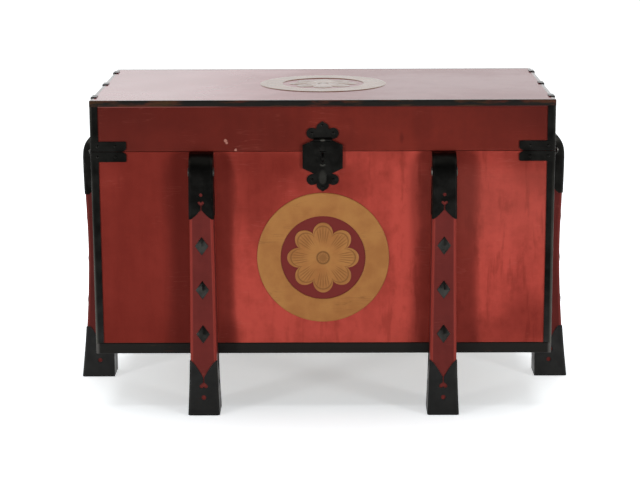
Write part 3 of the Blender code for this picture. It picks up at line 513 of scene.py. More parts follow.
def red_lacquer(name, deep, bright, roughness, zone=plain_zone, patch=USUAL_PATCH, depth=LACQUER_DEPTH,
                **sockets):
    """Red between a deep and a bright tone, by clouds, streaks and a zone, with faint scuffs.

    A zone is a function of the tree and the place that gives a factor. The colour isn't linked yet.
    """
    material, tree, shader, place = new_finish(name, **sockets)
    age = use_group(tree, LACQUER_AGE, Place=place, Patch=patch)
    mixed = maths(tree, "MULTIPLY", age["Streaks"], STREAK_SHARE)
    mixed = maths(tree, "MULTIPLY_ADD", age["Clouds"], CLOUD_SHARE, mixed)
    mixed = maths(tree, "MULTIPLY_ADD", age["Mottle"], MOTTLE_SHARE, mixed)
    tone = maths(tree, "MULTIPLY", zone(tree, place), maths(tree, "ADD", mixed, STEADY_SHARE))
    colour = blended(tree, tone, deep, bright)
    colour = blended(tree, maths(tree, "MULTIPLY", age["Scuffs"], SCUFF_SHARE), colour, SCUFF_PINK)
    rough = spread(tree, age["Clouds"], 0.0, 1.0, roughness + CLOUD_GLOSS, roughness - CLOUD_GLOSS)
    tree.links.new(rough, shader.inputs["Roughness"])
    bumped(tree, shader, age["Height"], depth)
    return material, tree, shader, place, colour


print("tone from", STEADY_SHARE, "to", round(STEADY_SHARE + CLOUD_SHARE + STREAK_SHARE + MOTTLE_SHARE, 2))

# %% Chips
CHIPS = ((-0.1929, 0.5505, 0.0036), (-0.1905, 0.5460, 0.0032), (-0.1727, 0.5315, 0.0030))
CHIP_GRAIN = 420.0
CHIP_RAGGED = 1.4
CHIP_EDGE = 0.35


def spots(tree, place, centres):
    """A mask of small chips with ragged edges, each given by its place and radius."""
    grain = maths(tree, "SUBTRACT", noise(tree, place, CHIP_GRAIN, detail=3.0), 0.5)
    ragged = maths(tree, "MULTIPLY", grain, CHIP_RAGGED)
    mask = 0.0
    for x, z, radius in centres:
        close = near(tree, place, (x, -WALL_Y, z), (radius, radius, radius))
        mask = maths(tree, "MAXIMUM", mask, spread(tree, maths(tree, "ADD", close, ragged), 0.0, CHIP_EDGE))
    return mask


print("chips:", len(CHIPS))

# %% Red boards
CHIP_PALE = (0.30, 0.13, 0.10)
SLOT_SHADE_BLACK = (0.004, 0.003, 0.003)
SLOT_SHADE_SIZE = (0.016, 0.030, 0.0024)
SLOT_SHADE_SOFT = 0.3
GROUND_RED = (0.118, 0.0170, 0.0150)
GROUND_MARGIN = 0.01
GROUND_SOFT = 0.05
BOARD_ROUGHNESS = 0.44
DULL_GLOSS = 0.07
BLOOM = (0.400, 0.120, 0.090)
BLOOM_SHARE = 0.08
BLOOM_REACH = (0.12, 0.30)
BLOOM_RISE = (0.26, 0.42)
BLOOM_END = (0.47, 0.52)


def board_red(name, deep, bright, zone):
    """Red lacquer on a board: chipped in a few places, dark inside the ring, and bare wood inside the box."""
    material, tree, shader, place, colour = red_lacquer(
        name, deep, bright, BOARD_ROUGHNESS, zone, Specular_IOR_Level=DULL_GLOSS)
    centre = (0.0, -WALL_Y, MEDALLION_Z)
    part = node(tree, "SeparateXYZ", {0: place}).outputs
    high = spread(tree, part["Z"], *BLOOM_RISE)
    high = maths(tree, "MULTIPLY", high, spread(tree, part["Z"], *BLOOM_END, 1.0, 0.0))
    bloom = maths(tree, "MULTIPLY", spread(tree, part["X"], *BLOOM_REACH, 0.0, BLOOM_SHARE), high)
    below_seam = maths(tree, "LESS_THAN", part["Z"], SEAM_Z)
    colour = blended(tree, maths(tree, "MULTIPLY", bloom, below_seam), colour, BLOOM)
    # Painted shade: the seam seen through the hasp's slot is darkened to near black.
    behind_slot = near(tree, place, (0.0, -WALL_Y, SEAM_Z), SLOT_SHADE_SIZE)
    colour = blended(tree, spread(tree, behind_slot, 0.0, SLOT_SHADE_SOFT), colour, SLOT_SHADE_BLACK)
    in_ring = near(tree, place, centre, (INNER_RADIUS + GROUND_MARGIN,) * 3)
    colour = blended(tree, spread(tree, in_ring, 0.0, GROUND_SOFT), colour, GROUND_RED)
    colour = blended(tree, spots(tree, place, CHIPS), colour, CHIP_PALE)
    inner = use_group(tree, INNER_SIDE, Place=place)["Mask"]
    colour = blended(tree, inner, colour, wood_colour(tree, place)[0])
    tree.links.new(colour, shader.inputs["Base Color"])
    return material


PANEL_RED = board_red("panel_lacquer", deep=(0.078, 0.0050, 0.0020), bright=(0.336, 0.046, 0.033),
                      zone=panel_zone)
LID_RED = board_red("lid_lacquer", deep=(0.052, 0.0050, 0.0030), bright=(0.144, 0.0170, 0.0105),
                    zone=lid_zone)
print("finishes:", PANEL_RED.name, LID_RED.name)

# %% [markdown]
# ### The lid's top and the legs
# The lid's top still has its polish and mirrors the white room, so it gets a clear coat and a smoother
# skin than the front. The legs are dull and dark, and lighter along their planed edges, which is partly
# rubbed lacquer and partly a painted highlight. A pattern at fixed places would suit one leg only, so the
# mesh marks how near each point is to such an edge.

# %% The lid's polished top
LID_TOP_DEEP = (0.12, 0.013, 0.013)
LID_TOP_BRIGHT = (0.25, 0.027, 0.042)
LID_GREYING = (-0.28, 0.16)
LID_GREY_TONE = 0.30
POLISHED_DEPTH = 0.00001
POLISH_FADE = (-0.34, 0.0)
POLISH_LEFT = 0.64
LID_EDGE_FADE = (-0.24, -0.16)
LID_EDGE_WORN = (0.20, 0.050, 0.042)
LID_EDGE_DARK = (0.062, 0.008, 0.006)
LID_FACE_BAND = (0.002, 0.0005)


def lid_top_zone(tree, place):
    """The lid's top is redder at the left and greyer at the right."""
    across = node(tree, "SeparateXYZ", {0: place}).outputs["X"]
    return spread(tree, across, *LID_GREYING, 1.0, LID_GREY_TONE)


def lid_top_red():
    """The lid's top keeps its polish: a clear coat, strongest at the left, over a deep red."""
    material, tree, shader, place, colour = red_lacquer(
        "lid_top_lacquer", LID_TOP_DEEP, LID_TOP_BRIGHT, roughness=0.42, zone=lid_top_zone, patch=4.0,
        depth=POLISHED_DEPTH, Specular_IOR_Level=0.15, Coat_Roughness=0.12, Coat_IOR=1.48)
    part = node(tree, "SeparateXYZ", {0: place}).outputs
    start, end = (LID_FACE_Z - below for below in LID_FACE_BAND)
    on_top = spread(tree, part["Z"], start, end)
    coat = maths(tree, "MULTIPLY", on_top, spread(tree, part["X"], *POLISH_FADE, 1.0, POLISH_LEFT))
    tree.links.new(coat, shader.inputs["Coat Weight"])
    edge = blended(tree, spread(tree, part["X"], *LID_EDGE_FADE), LID_EDGE_WORN, LID_EDGE_DARK)
    colour = blended(tree, on_top, edge, colour)
    inner = use_group(tree, INNER_SIDE, Place=place)["Mask"]
    colour = blended(tree, inner, colour, wood_colour(tree, place)[0])
    tree.links.new(colour, shader.inputs["Base Color"])
    return material


LID_TOP_RED = lid_top_red()
print("finish:", LID_TOP_RED.name)

# %% The legs' dull red
LEG_DEEP = (0.050, 0.0075, 0.0065)
LEG_BRIGHT = (0.104, 0.0160, 0.0135)
LEG_EDGE_SHEEN_AND_WEAR = (0.200, 0.027, 0.020)
END_LEG_SHEEN_AND_WEAR = 0.3
END_LEG_MARGIN = 0.01


def leg_red():
    """The legs' dull red, lighter on the planed edges: rubbed lacquer and a painted highlight."""
    material, tree, shader, place, colour = red_lacquer(
        "leg_lacquer", LEG_DEEP, LEG_BRIGHT, roughness=0.46, patch=12.0, Specular_IOR_Level=0.06)
    # The mark is rubbed lacquer and a painted highlight on the planed edges, weaker on the end legs.
    worn = node(tree, "Attribute", attribute_name="edge_rub_and_highlight").outputs["Fac"]
    away = maths(tree, "ABSOLUTE", node(tree, "SeparateXYZ", {0: place}).outputs["X"])
    on_end = spread(tree, away, WALL_X - END_LEG_MARGIN, WALL_X, 1.0, END_LEG_SHEEN_AND_WEAR)
    worn = maths(tree, "MULTIPLY", worn, on_end)
    tree.links.new(blended(tree, worn, colour, LEG_EDGE_SHEEN_AND_WEAR), shader.inputs["Base Color"])
    return material


LEG_RED = leg_red()
print("finish:", LEG_RED.name)

# %% [markdown]
# ## Finishes, part three: black lacquer, iron and gold
# Black lacquer was laid over brown and red, which show through where the lid's edge is rubbed. The iron is
# blackened, which is nearly all reflection and hardly any colour. The gold is powder on lacquer, so it is
# a soft yellow brown and not a mirror: a metal shader alone would look like plate.

# %% Black lacquer
LACQUER_BLACK = (0.0066, 0.0058, 0.0048)
UNDER_BROWN = (0.032, 0.017, 0.007)
UNDER_RED = (0.055, 0.012, 0.008)
RUB_AMOUNTS = (0.36, 0.56)
TOP_DUST = (0.36, 0.32, 0.32)
DUST_SHARE = 0.12
DUST_EDGE = (0.0003, 0.0014)
RAIL_CORNER_HIGHLIGHT = (0.066, 0.062, 0.058)
RAIL_HIGHLIGHT_REACH = (0.002, 0.009)
BLACK_ROUGHNESS = (0.30, 0.46)


def black_lacquer():
    """Black over brown and red undercoats, which show where the lid's edge is rubbed.

    The strips' flat tops are dusty and polished, and the rail gets a painted highlight at its upright
    corners.
    """
    material, tree, shader, place = new_finish(
        "black_lacquer", Specular_IOR_Level=0.08, Coat_Roughness=0.16, Coat_IOR=1.5)
    age = use_group(tree, LACQUER_AGE, Place=place, Patch=18.0)
    part = node(tree, "SeparateXYZ", {0: place}).outputs
    high = spread(tree, part["Z"], SEAM_Z, TOP_Z, *RUB_AMOUNTS)
    worn = use_group(tree, RUBBED, Place=place, Amount=high)["Mask"]
    under = blended(tree, age["Clouds"], UNDER_BROWN, UNDER_RED)
    colour = blended(tree, worn, LACQUER_BLACK, under)
    rough = spread(tree, age["Streaks"], 0.0, 1.0, *BLACK_ROUGHNESS)
    tree.links.new(rough, shader.inputs["Roughness"])
    inset_x = maths(tree, "SUBTRACT", HALF_WIDTH, maths(tree, "ABSOLUTE", part["X"]))
    inset_y = maths(tree, "SUBTRACT", HALF_DEPTH, maths(tree, "ABSOLUTE", part["Y"]))
    on_top = maths(tree, "GREATER_THAN", part["Z"], TOP_Z - 2 * BINDING)
    dusty = spread(tree, maths(tree, "MINIMUM", inset_x, inset_y), *DUST_EDGE)
    dusty = maths(tree, "MULTIPLY", dusty, on_top)
    tree.links.new(dusty, shader.inputs["Coat Weight"])
    colour = blended(tree, maths(tree, "MULTIPLY", dusty, DUST_SHARE), colour, TOP_DUST)
    on_rail = maths(tree, "LESS_THAN", part["Z"], RAIL_HIGH.z)
    at_corner = spread(tree, maths(tree, "MAXIMUM", inset_x, inset_y), *RAIL_HIGHLIGHT_REACH, 1.0, 0.0)
    colour = blended(tree, maths(tree, "MULTIPLY", at_corner, on_rail), colour, RAIL_CORNER_HIGHLIGHT)
    tree.links.new(colour, shader.inputs["Base Color"])
    bumped(tree, shader, age["Height"], LACQUER_DEPTH)
    return material


BLACK_LACQUER = black_lacquer()
print("finish:", BLACK_LACQUER.name)

# %% Blackened iron
IRON_DARK = (0.60, 0.58, 0.53)
IRON_PALE = (1.40, 1.36, 1.24)
IRON_GLOSS = 0.07
IRON_HIGHLIGHT = (0.060, 0.058, 0.050)
FLOOR_DUST = 0.011
DUST_HEIGHTS = (0.30, 0.06)


def black_iron(name, level, dents, depth, dust=FLOOR_DUST, roughness=0.43, worn=()):
    """Iron of a given lightness, hammered, with painted highlights at marked edges and spots, dusty near the
    floor.

    The highlighted edges are a mark on the mesh. Each worn spot is a painted highlight with a place, its size
    on each axis and a share.
    """
    material, tree, shader, place = new_finish(name, Metallic=1.0)
    skin = use_group(tree, HAMMERED, Place=place, Dents=dents)
    dark = tuple(level * share for share in IRON_DARK)
    pale = tuple(level * share for share in IRON_PALE)
    colour = blended(tree, skin["Tone"], dark, pale)
    part = node(tree, "SeparateXYZ", {0: place}).outputs
    dulled = spread(tree, part["Z"], *DUST_HEIGHTS, 0.0, dust)
    colour = node(tree, "VectorMath", {0: colour, 1: dulled}, operation="ADD").outputs[0]
    highlight = node(tree, "Attribute", attribute_name="edge_rub_and_highlight").outputs["Fac"]
    for centre, size, share in worn:
        highlight = maths(tree, "MAXIMUM", highlight, spread(tree, near(tree, place, centre, size), 0.0, 0.5, 0.0, share))
    tree.links.new(blended(tree, highlight, colour, IRON_HIGHLIGHT), shader.inputs["Base Color"])
    rough = spread(tree, skin["Tone"], 0.0, 1.0, roughness + IRON_GLOSS, roughness - IRON_GLOSS)
    tree.links.new(rough, shader.inputs["Roughness"])
    bumped(tree, shader, skin["Height"], depth)
    return material


IRON = black_iron("black_iron", level=0.0064, dents=90.0, depth=0.00020)
FORGED_IRON = black_iron("forged_iron", level=0.0085, dents=160.0, depth=0.00025)
WORN_IRON = black_iron("worn_iron", level=0.022, dents=200.0, depth=0.00012, dust=0.0, roughness=0.24)
RIM_WEAR_AND_GLINT_IRON = black_iron("rim_wear_and_glint_iron", level=0.105, dents=200.0, depth=0.00010, dust=0.0)
print("irons:", [iron.name for iron in (IRON, FORGED_IRON, WORN_IRON, RIM_WEAR_AND_GLINT_IRON)])

# %% Gold on lacquer
GOLD_RELIEF = 0.0003
GOLD_SCUFFS = 0.4
GOLD_ROUGHNESS = (0.42, 0.56)


def gold_lacquer(name, dark, light, depth, **sockets):
    """Gold powder on lacquer: clouds of ochre and brown, with painted shade in the marked grooves, darker by
    a depth.
    """
    material, tree, shader, place = new_finish(name, Metallic=0.2, Specular_IOR_Level=0.2, **sockets)
    age = use_group(tree, LACQUER_AGE, Place=place, Patch=22.0)
    colour = blended(tree, age["Clouds"], dark, light)
    brown = tuple((1 - depth) * part for part in dark)
    groove_shade = node(tree, "Attribute", attribute_name="groove_shade").outputs["Fac"]
    marks = maths(tree, "MAXIMUM", maths(tree, "MULTIPLY", age["Scuffs"], GOLD_SCUFFS), groove_shade)
    tree.links.new(blended(tree, marks, colour, brown), shader.inputs["Base Color"])
    rough = spread(tree, age["Streaks"], 0.0, 1.0, *GOLD_ROUGHNESS)
    tree.links.new(rough, shader.inputs["Roughness"])
    bumped(tree, shader, age["Height"], GOLD_RELIEF)
    return material


GOLD = gold_lacquer("gold_lacquer", dark=(0.232, 0.090, 0.0225), light=(0.286, 0.126, 0.034), depth=0.5)
LID_GOLD = gold_lacquer("lid_gold_lacquer", dark=(0.160, 0.066, 0.022), light=(0.200, 0.090, 0.032),
                        depth=0.4, Coat_Weight=0.90, Coat_Roughness=0.16)
print("finishes:", [material.name for material in bpy.data.materials if material.use_nodes])

# %% [markdown]
# ## Boards and rails
# A board is flat and its solid is already true, so the box keeps its solids and takes on finishes. Inside,
# the lacquer stops and the wood is bare: one material does both, because a mask in Object coordinates
# knows which side of the board a point is on.

# %% Finish the boards
BOARD_FINISHES = {
    PANEL_RED: ("front_board", "back_board", "left_end_board", "right_end_board"),
    LID_RED: ("lid_front_board", "lid_back_board", "lid_left_board", "lid_right_board"),
    LID_TOP_RED: ("lid_top_board",),
    PLAIN_WOOD: ("bottom_board",),
    BLACK_LACQUER: tuple(f"base_rail_{side}" for side in ("front", "back", "left", "right")),
    IRON: ("hinge_pin_left", "hinge_pin_right", "hasp_pin"),
}


def dress(name, material):
    """Give a solid of the frame one finish."""
    NODES[name].data.materials.clear()
    NODES[name].data.materials.append(material)


for finish, names in BOARD_FINISHES.items():
    for name in names:
        dress(name, finish)
print("finished", sum(len(names) for names in BOARD_FINISHES.values()), "solids of the frame")

# %% [markdown]
# ## From arrays to meshes
# A piece could be pulled into shape by hand in Edit Mode, but a formula can be read and changed. So each
# new piece is a surface: a grid of points worked out as one array, row by row. If the columns close into a
# ring, the rows stack into a tube, and a flat face at each end makes it a solid. The helpers below turn
# such arrays into meshes. Holes are cut afterwards with a Boolean, the way a smith pierces a sheet after
# shaping it.

# %% Rings into solids
WELD = 1e-6


def ring_faces(rows, columns, close_rows=False):
    """Quads between neighbouring rows of a grid whose columns run round and close on themselves."""
    row = np.arange(rows if close_rows else rows - 1)[:, None]
    column = np.arange(columns)[None, :]
    below = row * columns
    above = (row + 1) % rows * columns
    after = (column + 1) % columns
    corners = (below + column, below + after, above + after, above + column)
    return np.stack(corners, axis=-1).reshape(-1, 4)


def clean_mesh(build):
    """Weld a bmesh, turn its faces outwards and give it back as a mesh."""
    bmesh.ops.remove_doubles(build, verts=build.verts, dist=WELD)
    bmesh.ops.recalc_face_normals(build, faces=build.faces)
    mesh = bpy.data.meshes.new("surface")
    build.to_mesh(mesh)
    build.free()
    return mesh


def joined(meshes):
    """Several closed meshes as one."""
    build = bmesh.new()
    for mesh in meshes:
        build.from_mesh(mesh)
    return clean_mesh(build)


def made_mesh(points, faces):
    """A mesh from an array of points and a list of faces, welded and turned outwards."""
    rough = bpy.data.meshes.new("rough")
    rough.from_pydata(points.reshape(-1, 3).tolist(), [], faces)
    return joined([rough])


def solid(rings):
    """A closed solid over an array of rings: quads between the rows and one flat face at each end."""
    rows, columns = rings.shape[:2]
    ends = [list(range(columns)), list(range((rows - 1) * columns, rows * columns))]
    return made_mesh(rings, ring_faces(rows, columns).tolist() + ends)


print("two rows of eight columns make", len(ring_faces(2, 8)), "quads")

# %% Place, mark and finish a piece
SHARP_ANGLE = math.radians(32)
SHEET_EASE = 0.0003
PLATE_EASE = 0.0004
WOOD_EASE = 0.0005


def placed(mesh, place):
    """A copy of a mesh moved to its place."""
    copy = mesh.copy()
    copy.transform(place)
    return copy


def points_of(mesh):
    """The places of a mesh's vertices, one row each."""
    points = np.empty(3 * len(mesh.vertices))
    mesh.vertices.foreach_get("co", points)
    return points.reshape(-1, 3)


def marked(mesh, label, values):
    """Give each vertex a value under a label, which a finish can read."""
    layer = mesh.attributes.new(label, "FLOAT", "POINT")
    layer.data.foreach_set("value", values.ravel().astype(np.float32))
    return mesh


def piece(name, mesh, material, body, stands_for=(), ease=0.0):
    """Name a finished mesh, shade it, ease its edges, hang it on its body and hide what it stands for."""
    made = bpy.data.objects.new(name, mesh)
    bpy.context.scene.collection.objects.link(made)
    mesh.materials.clear()
    mesh.materials.append(material)
    mesh.shade_smooth()
    mesh.set_sharp_from_angle(angle=SHARP_ANGLE)
    if ease:
        eased = made.modifiers.new("eased_edges", "BEVEL")
        eased.width = ease
        eased.segments = 2
        eased.limit_method = "ANGLE"
        eased.angle_limit = SHARP_ANGLE
        eased.harden_normals = True
    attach(made, body)
    if stands_for:
        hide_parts(*stands_for)
    return made


print("edges sharper than", round(math.degrees(SHARP_ANGLE)), "degrees stay crisp")

# %% [markdown]
# ## Legs
# Each leg is one post, sawn to a curve: it sweeps out at the foot, draws in at the waist and rounds over
# at the head, and both front edges are planed off. A box with a Subdivision Surface would be quick but
# would lose the planed edges, so the leg is a stack of sections whose width and reach are formulas of the
# height.

# %% The leg's profile
LEG_WIDTH_TOP = 0.0445
LEG_WIDTH_ANKLE = 0.0530
LEG_FOOT_FLARE = 0.0058
LEG_REACH_FOOT = 0.0590
LEG_REACH_WAIST = 0.0406
LEG_REACH_SHOULDER = 0.0451
LEG_WAIST_HEIGHT = 0.285
LEG_HEAD_HEIGHT = 0.052
LEG_SWEEP_POWER = 1.8
LEG_FLARE_POWER = 1.6
LEG_HEAD_POWER = 2.6
LEG_HEAD_CLOSE = 0.985
LEG_SHOULDER = LEG_TOP - LEG_HEAD_HEIGHT


def leg_reach(z):
    """How far the leg stands out: a power curve in the foot, a half cosine above it and a rounded head."""
    sweep = ((LEG_WAIST_HEIGHT - z) / LEG_WAIST_HEIGHT).clip(0) ** LEG_SWEEP_POWER
    foot = LEG_REACH_WAIST + (LEG_REACH_FOOT - LEG_REACH_WAIST) * sweep
    rise = ((z - LEG_WAIST_HEIGHT) / (LEG_SHOULDER - LEG_WAIST_HEIGHT)).clip(0, 1)
    shaft = LEG_REACH_WAIST + (LEG_REACH_SHOULDER - LEG_REACH_WAIST) * (1 - np.cos(np.pi * rise)) / 2
    crown = (LEG_HEAD_CLOSE * (z - LEG_SHOULDER) / LEG_HEAD_HEIGHT).clip(0, LEG_HEAD_CLOSE)
    head = (1 - crown ** LEG_HEAD_POWER) ** (1 / LEG_HEAD_POWER)
    return np.where(z < LEG_WAIST_HEIGHT, foot, shaft) * head


def leg_width(z):
    """A straight taper, with a flare inside the shoe."""
    taper = (LEG_WIDTH_TOP - LEG_WIDTH_ANKLE) / (LEG_TOP - SHOE_TOP)
    flare = ((SHOE_TOP - z) / SHOE_TOP).clip(0)
    return LEG_WIDTH_ANKLE + taper * (z - SHOE_TOP) + LEG_FOOT_FLARE * flare ** LEG_FLARE_POWER


print("leg reach:", leg_reach(np.array([0.0, LEG_WAIST_HEIGHT, LEG_SHOULDER])).round(4))

# %% The leg's sections
LEG_CHAMFER = 0.004
EDGE_SHEEN_AND_WEAR_WIDTH = 0.0025
FOOT_LEVELS = 13
SHAFT_LEVELS = 29
HEAD_LEVELS = 22


def leg_levels(low, high):
    """Heights of the sections: even in the foot and shaft, and by the sine of even turns in the head."""
    foot = np.linspace(0, SHOE_TOP, FOOT_LEVELS)[:-1]
    shaft = np.linspace(SHOE_TOP, LEG_SHOULDER, SHAFT_LEVELS)[:-1]
    head = LEG_SHOULDER + LEG_HEAD_HEIGHT * np.sin(np.linspace(0, np.pi / 2, HEAD_LEVELS))[:-1]
    every = np.concatenate((foot, shaft, head))
    inner = every[(every > low + FIT) & (every < high - FIT)]
    return np.concatenate(([low], inner, [high]))


def leg_skin(levels, grow, back):
    """Sections of the leg grown outwards: half the width and the reach at each height, less the planed edge.

    Left of the middle a section has six points: the back, the flank short of the planed edge, its two
    corners, the front face beyond it, and the middle of the front. The right half mirrors them.
    """
    half = (leg_width(levels) / 2 + grow)[:, None]
    reach = (leg_reach(levels) + grow)[:, None]
    side = np.array([1, 1, 1, 1, 1, 0])
    inset_x = np.array([0, 0, 0, LEG_CHAMFER, LEG_CHAMFER + EDGE_SHEEN_AND_WEAR_WIDTH, 0])
    front = np.array([0, 1, 1, 1, 1, 1])
    inset_y = np.array([0, LEG_CHAMFER + EDGE_SHEEN_AND_WEAR_WIDTH, LEG_CHAMFER, 0, 0, 0])
    x = inset_x - half * side
    y = (inset_y - reach) * front + back * (1 - front)
    lift = grow * ((levels - LEG_SHOULDER) / LEG_HEAD_HEIGHT).clip(0) ** 2
    z = np.broadcast_to((levels + lift)[:, None], x.shape)
    left = np.stack((x, y, z), axis=-1)
    return np.concatenate((left, left[:, -2::-1] * (-1, 1, 1)), axis=1)


print("sections in a leg:", len(leg_levels(0.0, LEG_TOP)))

# %% Cutters, and the bore for the rope
ROPE_HOLE_DROP = 0.035
ROPE_HOLE_Z = LEG_TOP - ROPE_HOLE_DROP
ROPE_HOLE_REACH = 0.024
ROPE_HOLE_RADIUS = 0.0045
BEYOND = 0.12


def prism(outline, start, end):
    """A flat outline in x and z, carried straight along y from start to end."""
    rings = np.empty((2, len(outline), 3))
    rings[..., 0] = outline[:, 0]
    rings[..., 1] = np.array([[start], [end]])
    rings[..., 2] = outline[:, 1]
    return solid(rings)


def rod(radius, start, end, y, z, steps=32):
    """A cylinder along x about the line through y and z."""
    turn = np.linspace(0, 2 * np.pi, steps, endpoint=False)
    rings = np.empty((2, steps, 3))
    rings[..., 0] = np.array([[start], [end]])
    rings[..., 1] = y + radius * np.cos(turn)
    rings[..., 2] = z + radius * np.sin(turn)
    return solid(rings)


def slab(low, high):
    """A plain block between two corners."""
    across = np.array([[low[0], low[2]], [high[0], low[2]], [high[0], high[2]], [low[0], high[2]]])
    return prism(across, low[1], high[1])


def carved(mesh, others, operation="DIFFERENCE"):
    """Cut other solids out of a mesh, or with UNION join them to it."""
    scene_objects = bpy.context.scene.collection.objects
    holders = [bpy.data.objects.new("bench", part) for part in (mesh, *others)]
    for holder in holders:
        scene_objects.link(holder)
    for helper in holders[1:]:
        step = holders[0].modifiers.new("step", "BOOLEAN")
        step.operation = operation
        step.solver = "EXACT"
        step.object = helper
    bpy.context.view_layer.update()
    graph = bpy.context.evaluated_depsgraph_get()
    result = bpy.data.meshes.new_from_object(holders[0].evaluated_get(graph))
    for holder in holders:
        bpy.data.objects.remove(holder, do_unlink=True)
    return joined([result])


ROPE_BORE = rod(ROPE_HOLE_RADIUS, -BEYOND, BEYOND, -ROPE_HOLE_REACH, ROPE_HOLE_Z)
print("rope bore at", round(ROPE_HOLE_Z, 4), "with", len(ROPE_BORE.polygons), "faces")

# %% Six legs
LEG_LEDGE = 0.008
LEG_TURNS = {"front_left": 0.0, "front_right": 0.0, "right": math.pi / 2,
             "back_right": math.pi, "back_left": math.pi, "left": -math.pi / 2}


def leg_place(side):
    """From a leg's own frame, with the wall on y = 0 and its front along -Y, to its place on the chest."""
    low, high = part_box(f"leg_cap_{side}")
    middle = (low + high) / 2
    turn = Matrix.Rotation(LEG_TURNS[side], 4, "Z")
    out = turn @ Vector((0, -1, 0))
    x = middle.x * (1 - abs(out.x)) + out.x * HALF_WIDTH
    y = middle.y * (1 - abs(out.y)) + out.y * HALF_DEPTH
    return Matrix.Translation((x, y, 0)) @ turn


def leg_mesh():
    """A stack of sections cut back to wall and rail, bored for the rope, with edge wear and a painted
    highlight marked.

    On the planed edge, width and reach add up to a constant, so the distance from that plane is the mark.
    """
    blank = solid(leg_skin(leg_levels(0.0, LEG_TOP), 0.0, LEG_LEDGE))
    wall = slab((-BEYOND, BINDING, RAIL_HIGH.z), (BEYOND, 2 * LEG_LEDGE, TOP_Z))
    rail = slab((-BEYOND, -FIT, RAIL_LOW.z - FIT), (BEYOND, 2 * LEG_LEDGE, RAIL_HIGH.z + FIT))
    mesh = carved(blank, [wall, rail, ROPE_BORE])
    x, y, z = points_of(mesh).T
    off_edge = np.abs(x) - leg_width(z) / 2 - y - leg_reach(z) + LEG_CHAMFER
    return marked(mesh, "edge_rub_and_highlight", (1 - np.abs(off_edge) / EDGE_SHEEN_AND_WEAR_WIDTH).clip(0, 1))


LEG = leg_mesh()
LEG_PLACES = {side: leg_place(side) for side in LEG_TURNS}
for side, place in LEG_PLACES.items():
    piece(f"lacquered_leg_{side}", placed(LEG, place), LEG_RED, "chest", [f"leg_{side}"],
          WOOD_EASE)
print("legs:", len(LEG_PLACES), "with", len(LEG.polygons), "faces each")

# %% [markdown]
# ## Iron caps and shoes
# The caps and shoes are sheet iron folded over the leg. Their free edges are filed to swallow tails, and a
# heart and a dot are pierced through each face, so the red leg shows behind. A Solidify modifier could
# thicken a single skin, but a solid takes clean cuts, so the same sections as the leg, grown by the
# thickness of the sheet, give an outer and an inner skin. The heart is the usual curve of a cubed sine
# against four cosines.

# %% Swallow tails and hearts
HEART_WAVES = np.array([13, -5, -2, -1])
HEART_LOWEST = -17
HEART_SPAN = 29
HEART_RATIO = 0.80
HEART_STEPS = 22
STEM_WIDTH = 0.0024
STEM_LENGTH = 0.006
NOTCH_POWER = 1.3
NOTCH_STEPS = 14


def arc(x, y, radius, start, end, steps):
    """Points on a circle between two angles in degrees, both ends kept."""
    turn = np.radians(np.linspace(start, end, steps + 1))
    return np.stack((x + radius * np.cos(turn), y + radius * np.sin(turn)), axis=-1)


def mirrored(right):
    """A closed outline from its right half, whose last point lies on the middle line."""
    return np.concatenate((right, right[:-1][::-1] * (-1, 1)))


def heart_half(width, tip):
    """Right half of a heart from its point up to its dip: x is a cubed sine, y a sum of four cosines."""
    angle = np.pi * np.linspace(1, 0, HEART_STEPS)
    wave = np.cos(angle[:, None] * (1 + np.arange(len(HEART_WAVES)))) @ HEART_WAVES
    x = width / 2 * np.sin(angle) ** 3
    y = (wave - HEART_LOWEST) / HEART_SPAN * width * HEART_RATIO
    return np.concatenate((np.stack((x, y), axis=-1)[x > tip], [[0.0, y[-1]]]))


def swallow_tail(half_width, rise, heart_width):
    """A notch that opens at y = 0 and narrows by a power of the distance, then a stem and a heart."""
    stem = STEM_WIDTH / 2
    step = np.linspace(0, 1 - stem / half_width, NOTCH_STEPS)
    curve = np.stack((half_width * (1 - step), rise * step ** NOTCH_POWER), axis=-1)
    neck = [[stem, rise + STEM_LENGTH + stem]]
    heart = heart_half(heart_width, stem) + (0.0, rise + STEM_LENGTH)
    return mirrored(np.concatenate(([[half_width, -rise]], curve, neck, heart)))


print("points in half a heart:", len(heart_half(1.0, 0.0)))

# %% Cutters for a cap or shoe
DOT_SHARE = 0.28
DOT_STEPS = 24
PRONG = 0.0015


def piercings(edge, way, half_width, rise, heart_width, dot_gap):
    """Outlines for one face: a swallow tail from its free edge, and a dot beyond its heart."""
    dot_height = rise + STEM_LENGTH + heart_width * HEART_RATIO + dot_gap
    dot = arc(0.0, dot_height, heart_width * DOT_SHARE, 0, 360, DOT_STEPS)[:-1]
    tail = swallow_tail(half_width, rise, heart_width)
    return [outline * (1, way) + (0.0, edge) for outline in (tail, dot)]


def skin_cutters(edge, way, rise, heart_width, dot_gap, back):
    """Cutters for the front face and for both flanks of a cap or shoe."""
    at_edge = np.array([edge])
    depth = LEG_REACH_WAIST / 2
    front_half = leg_width(at_edge)[0] / 2 - PRONG
    front = piercings(edge, way, front_half, rise, heart_width, dot_gap)
    cutters = [prism(outline, -BEYOND, -depth) for outline in front]
    flank_front = leg_reach(at_edge)[0] - LEG_CHAMFER - PRONG
    flank_half = (flank_front - back) / 2 - PRONG
    across = Matrix.Translation((0, -(flank_front + back) / 2, 0)) @ Matrix.Rotation(math.pi / 2, 4, "Z")
    for outline in piercings(edge, way, flank_half, rise, heart_width, dot_gap):
        cutters.append(placed(prism(outline, -BEYOND, BEYOND), across))
    return cutters


print("a dot is", DOT_SHARE, "of its heart's width in radius")

# %% Caps and shoes on the legs
SKIN = 0.0012
CAP_NOTCH = 0.0205
CAP_HEART_WIDTH = 0.013
CAP_DOT_GAP = 0.0126
SHOE_NOTCH = 0.036
SHOE_HEART_WIDTH = 0.017
SHOE_DOT_GAP = 0.0188
HEAD_HIGHLIGHT = 0.45
HEAD_HIGHLIGHT_DROP = 0.0115
HEAD_HIGHLIGHT_WIDTH = 0.0055


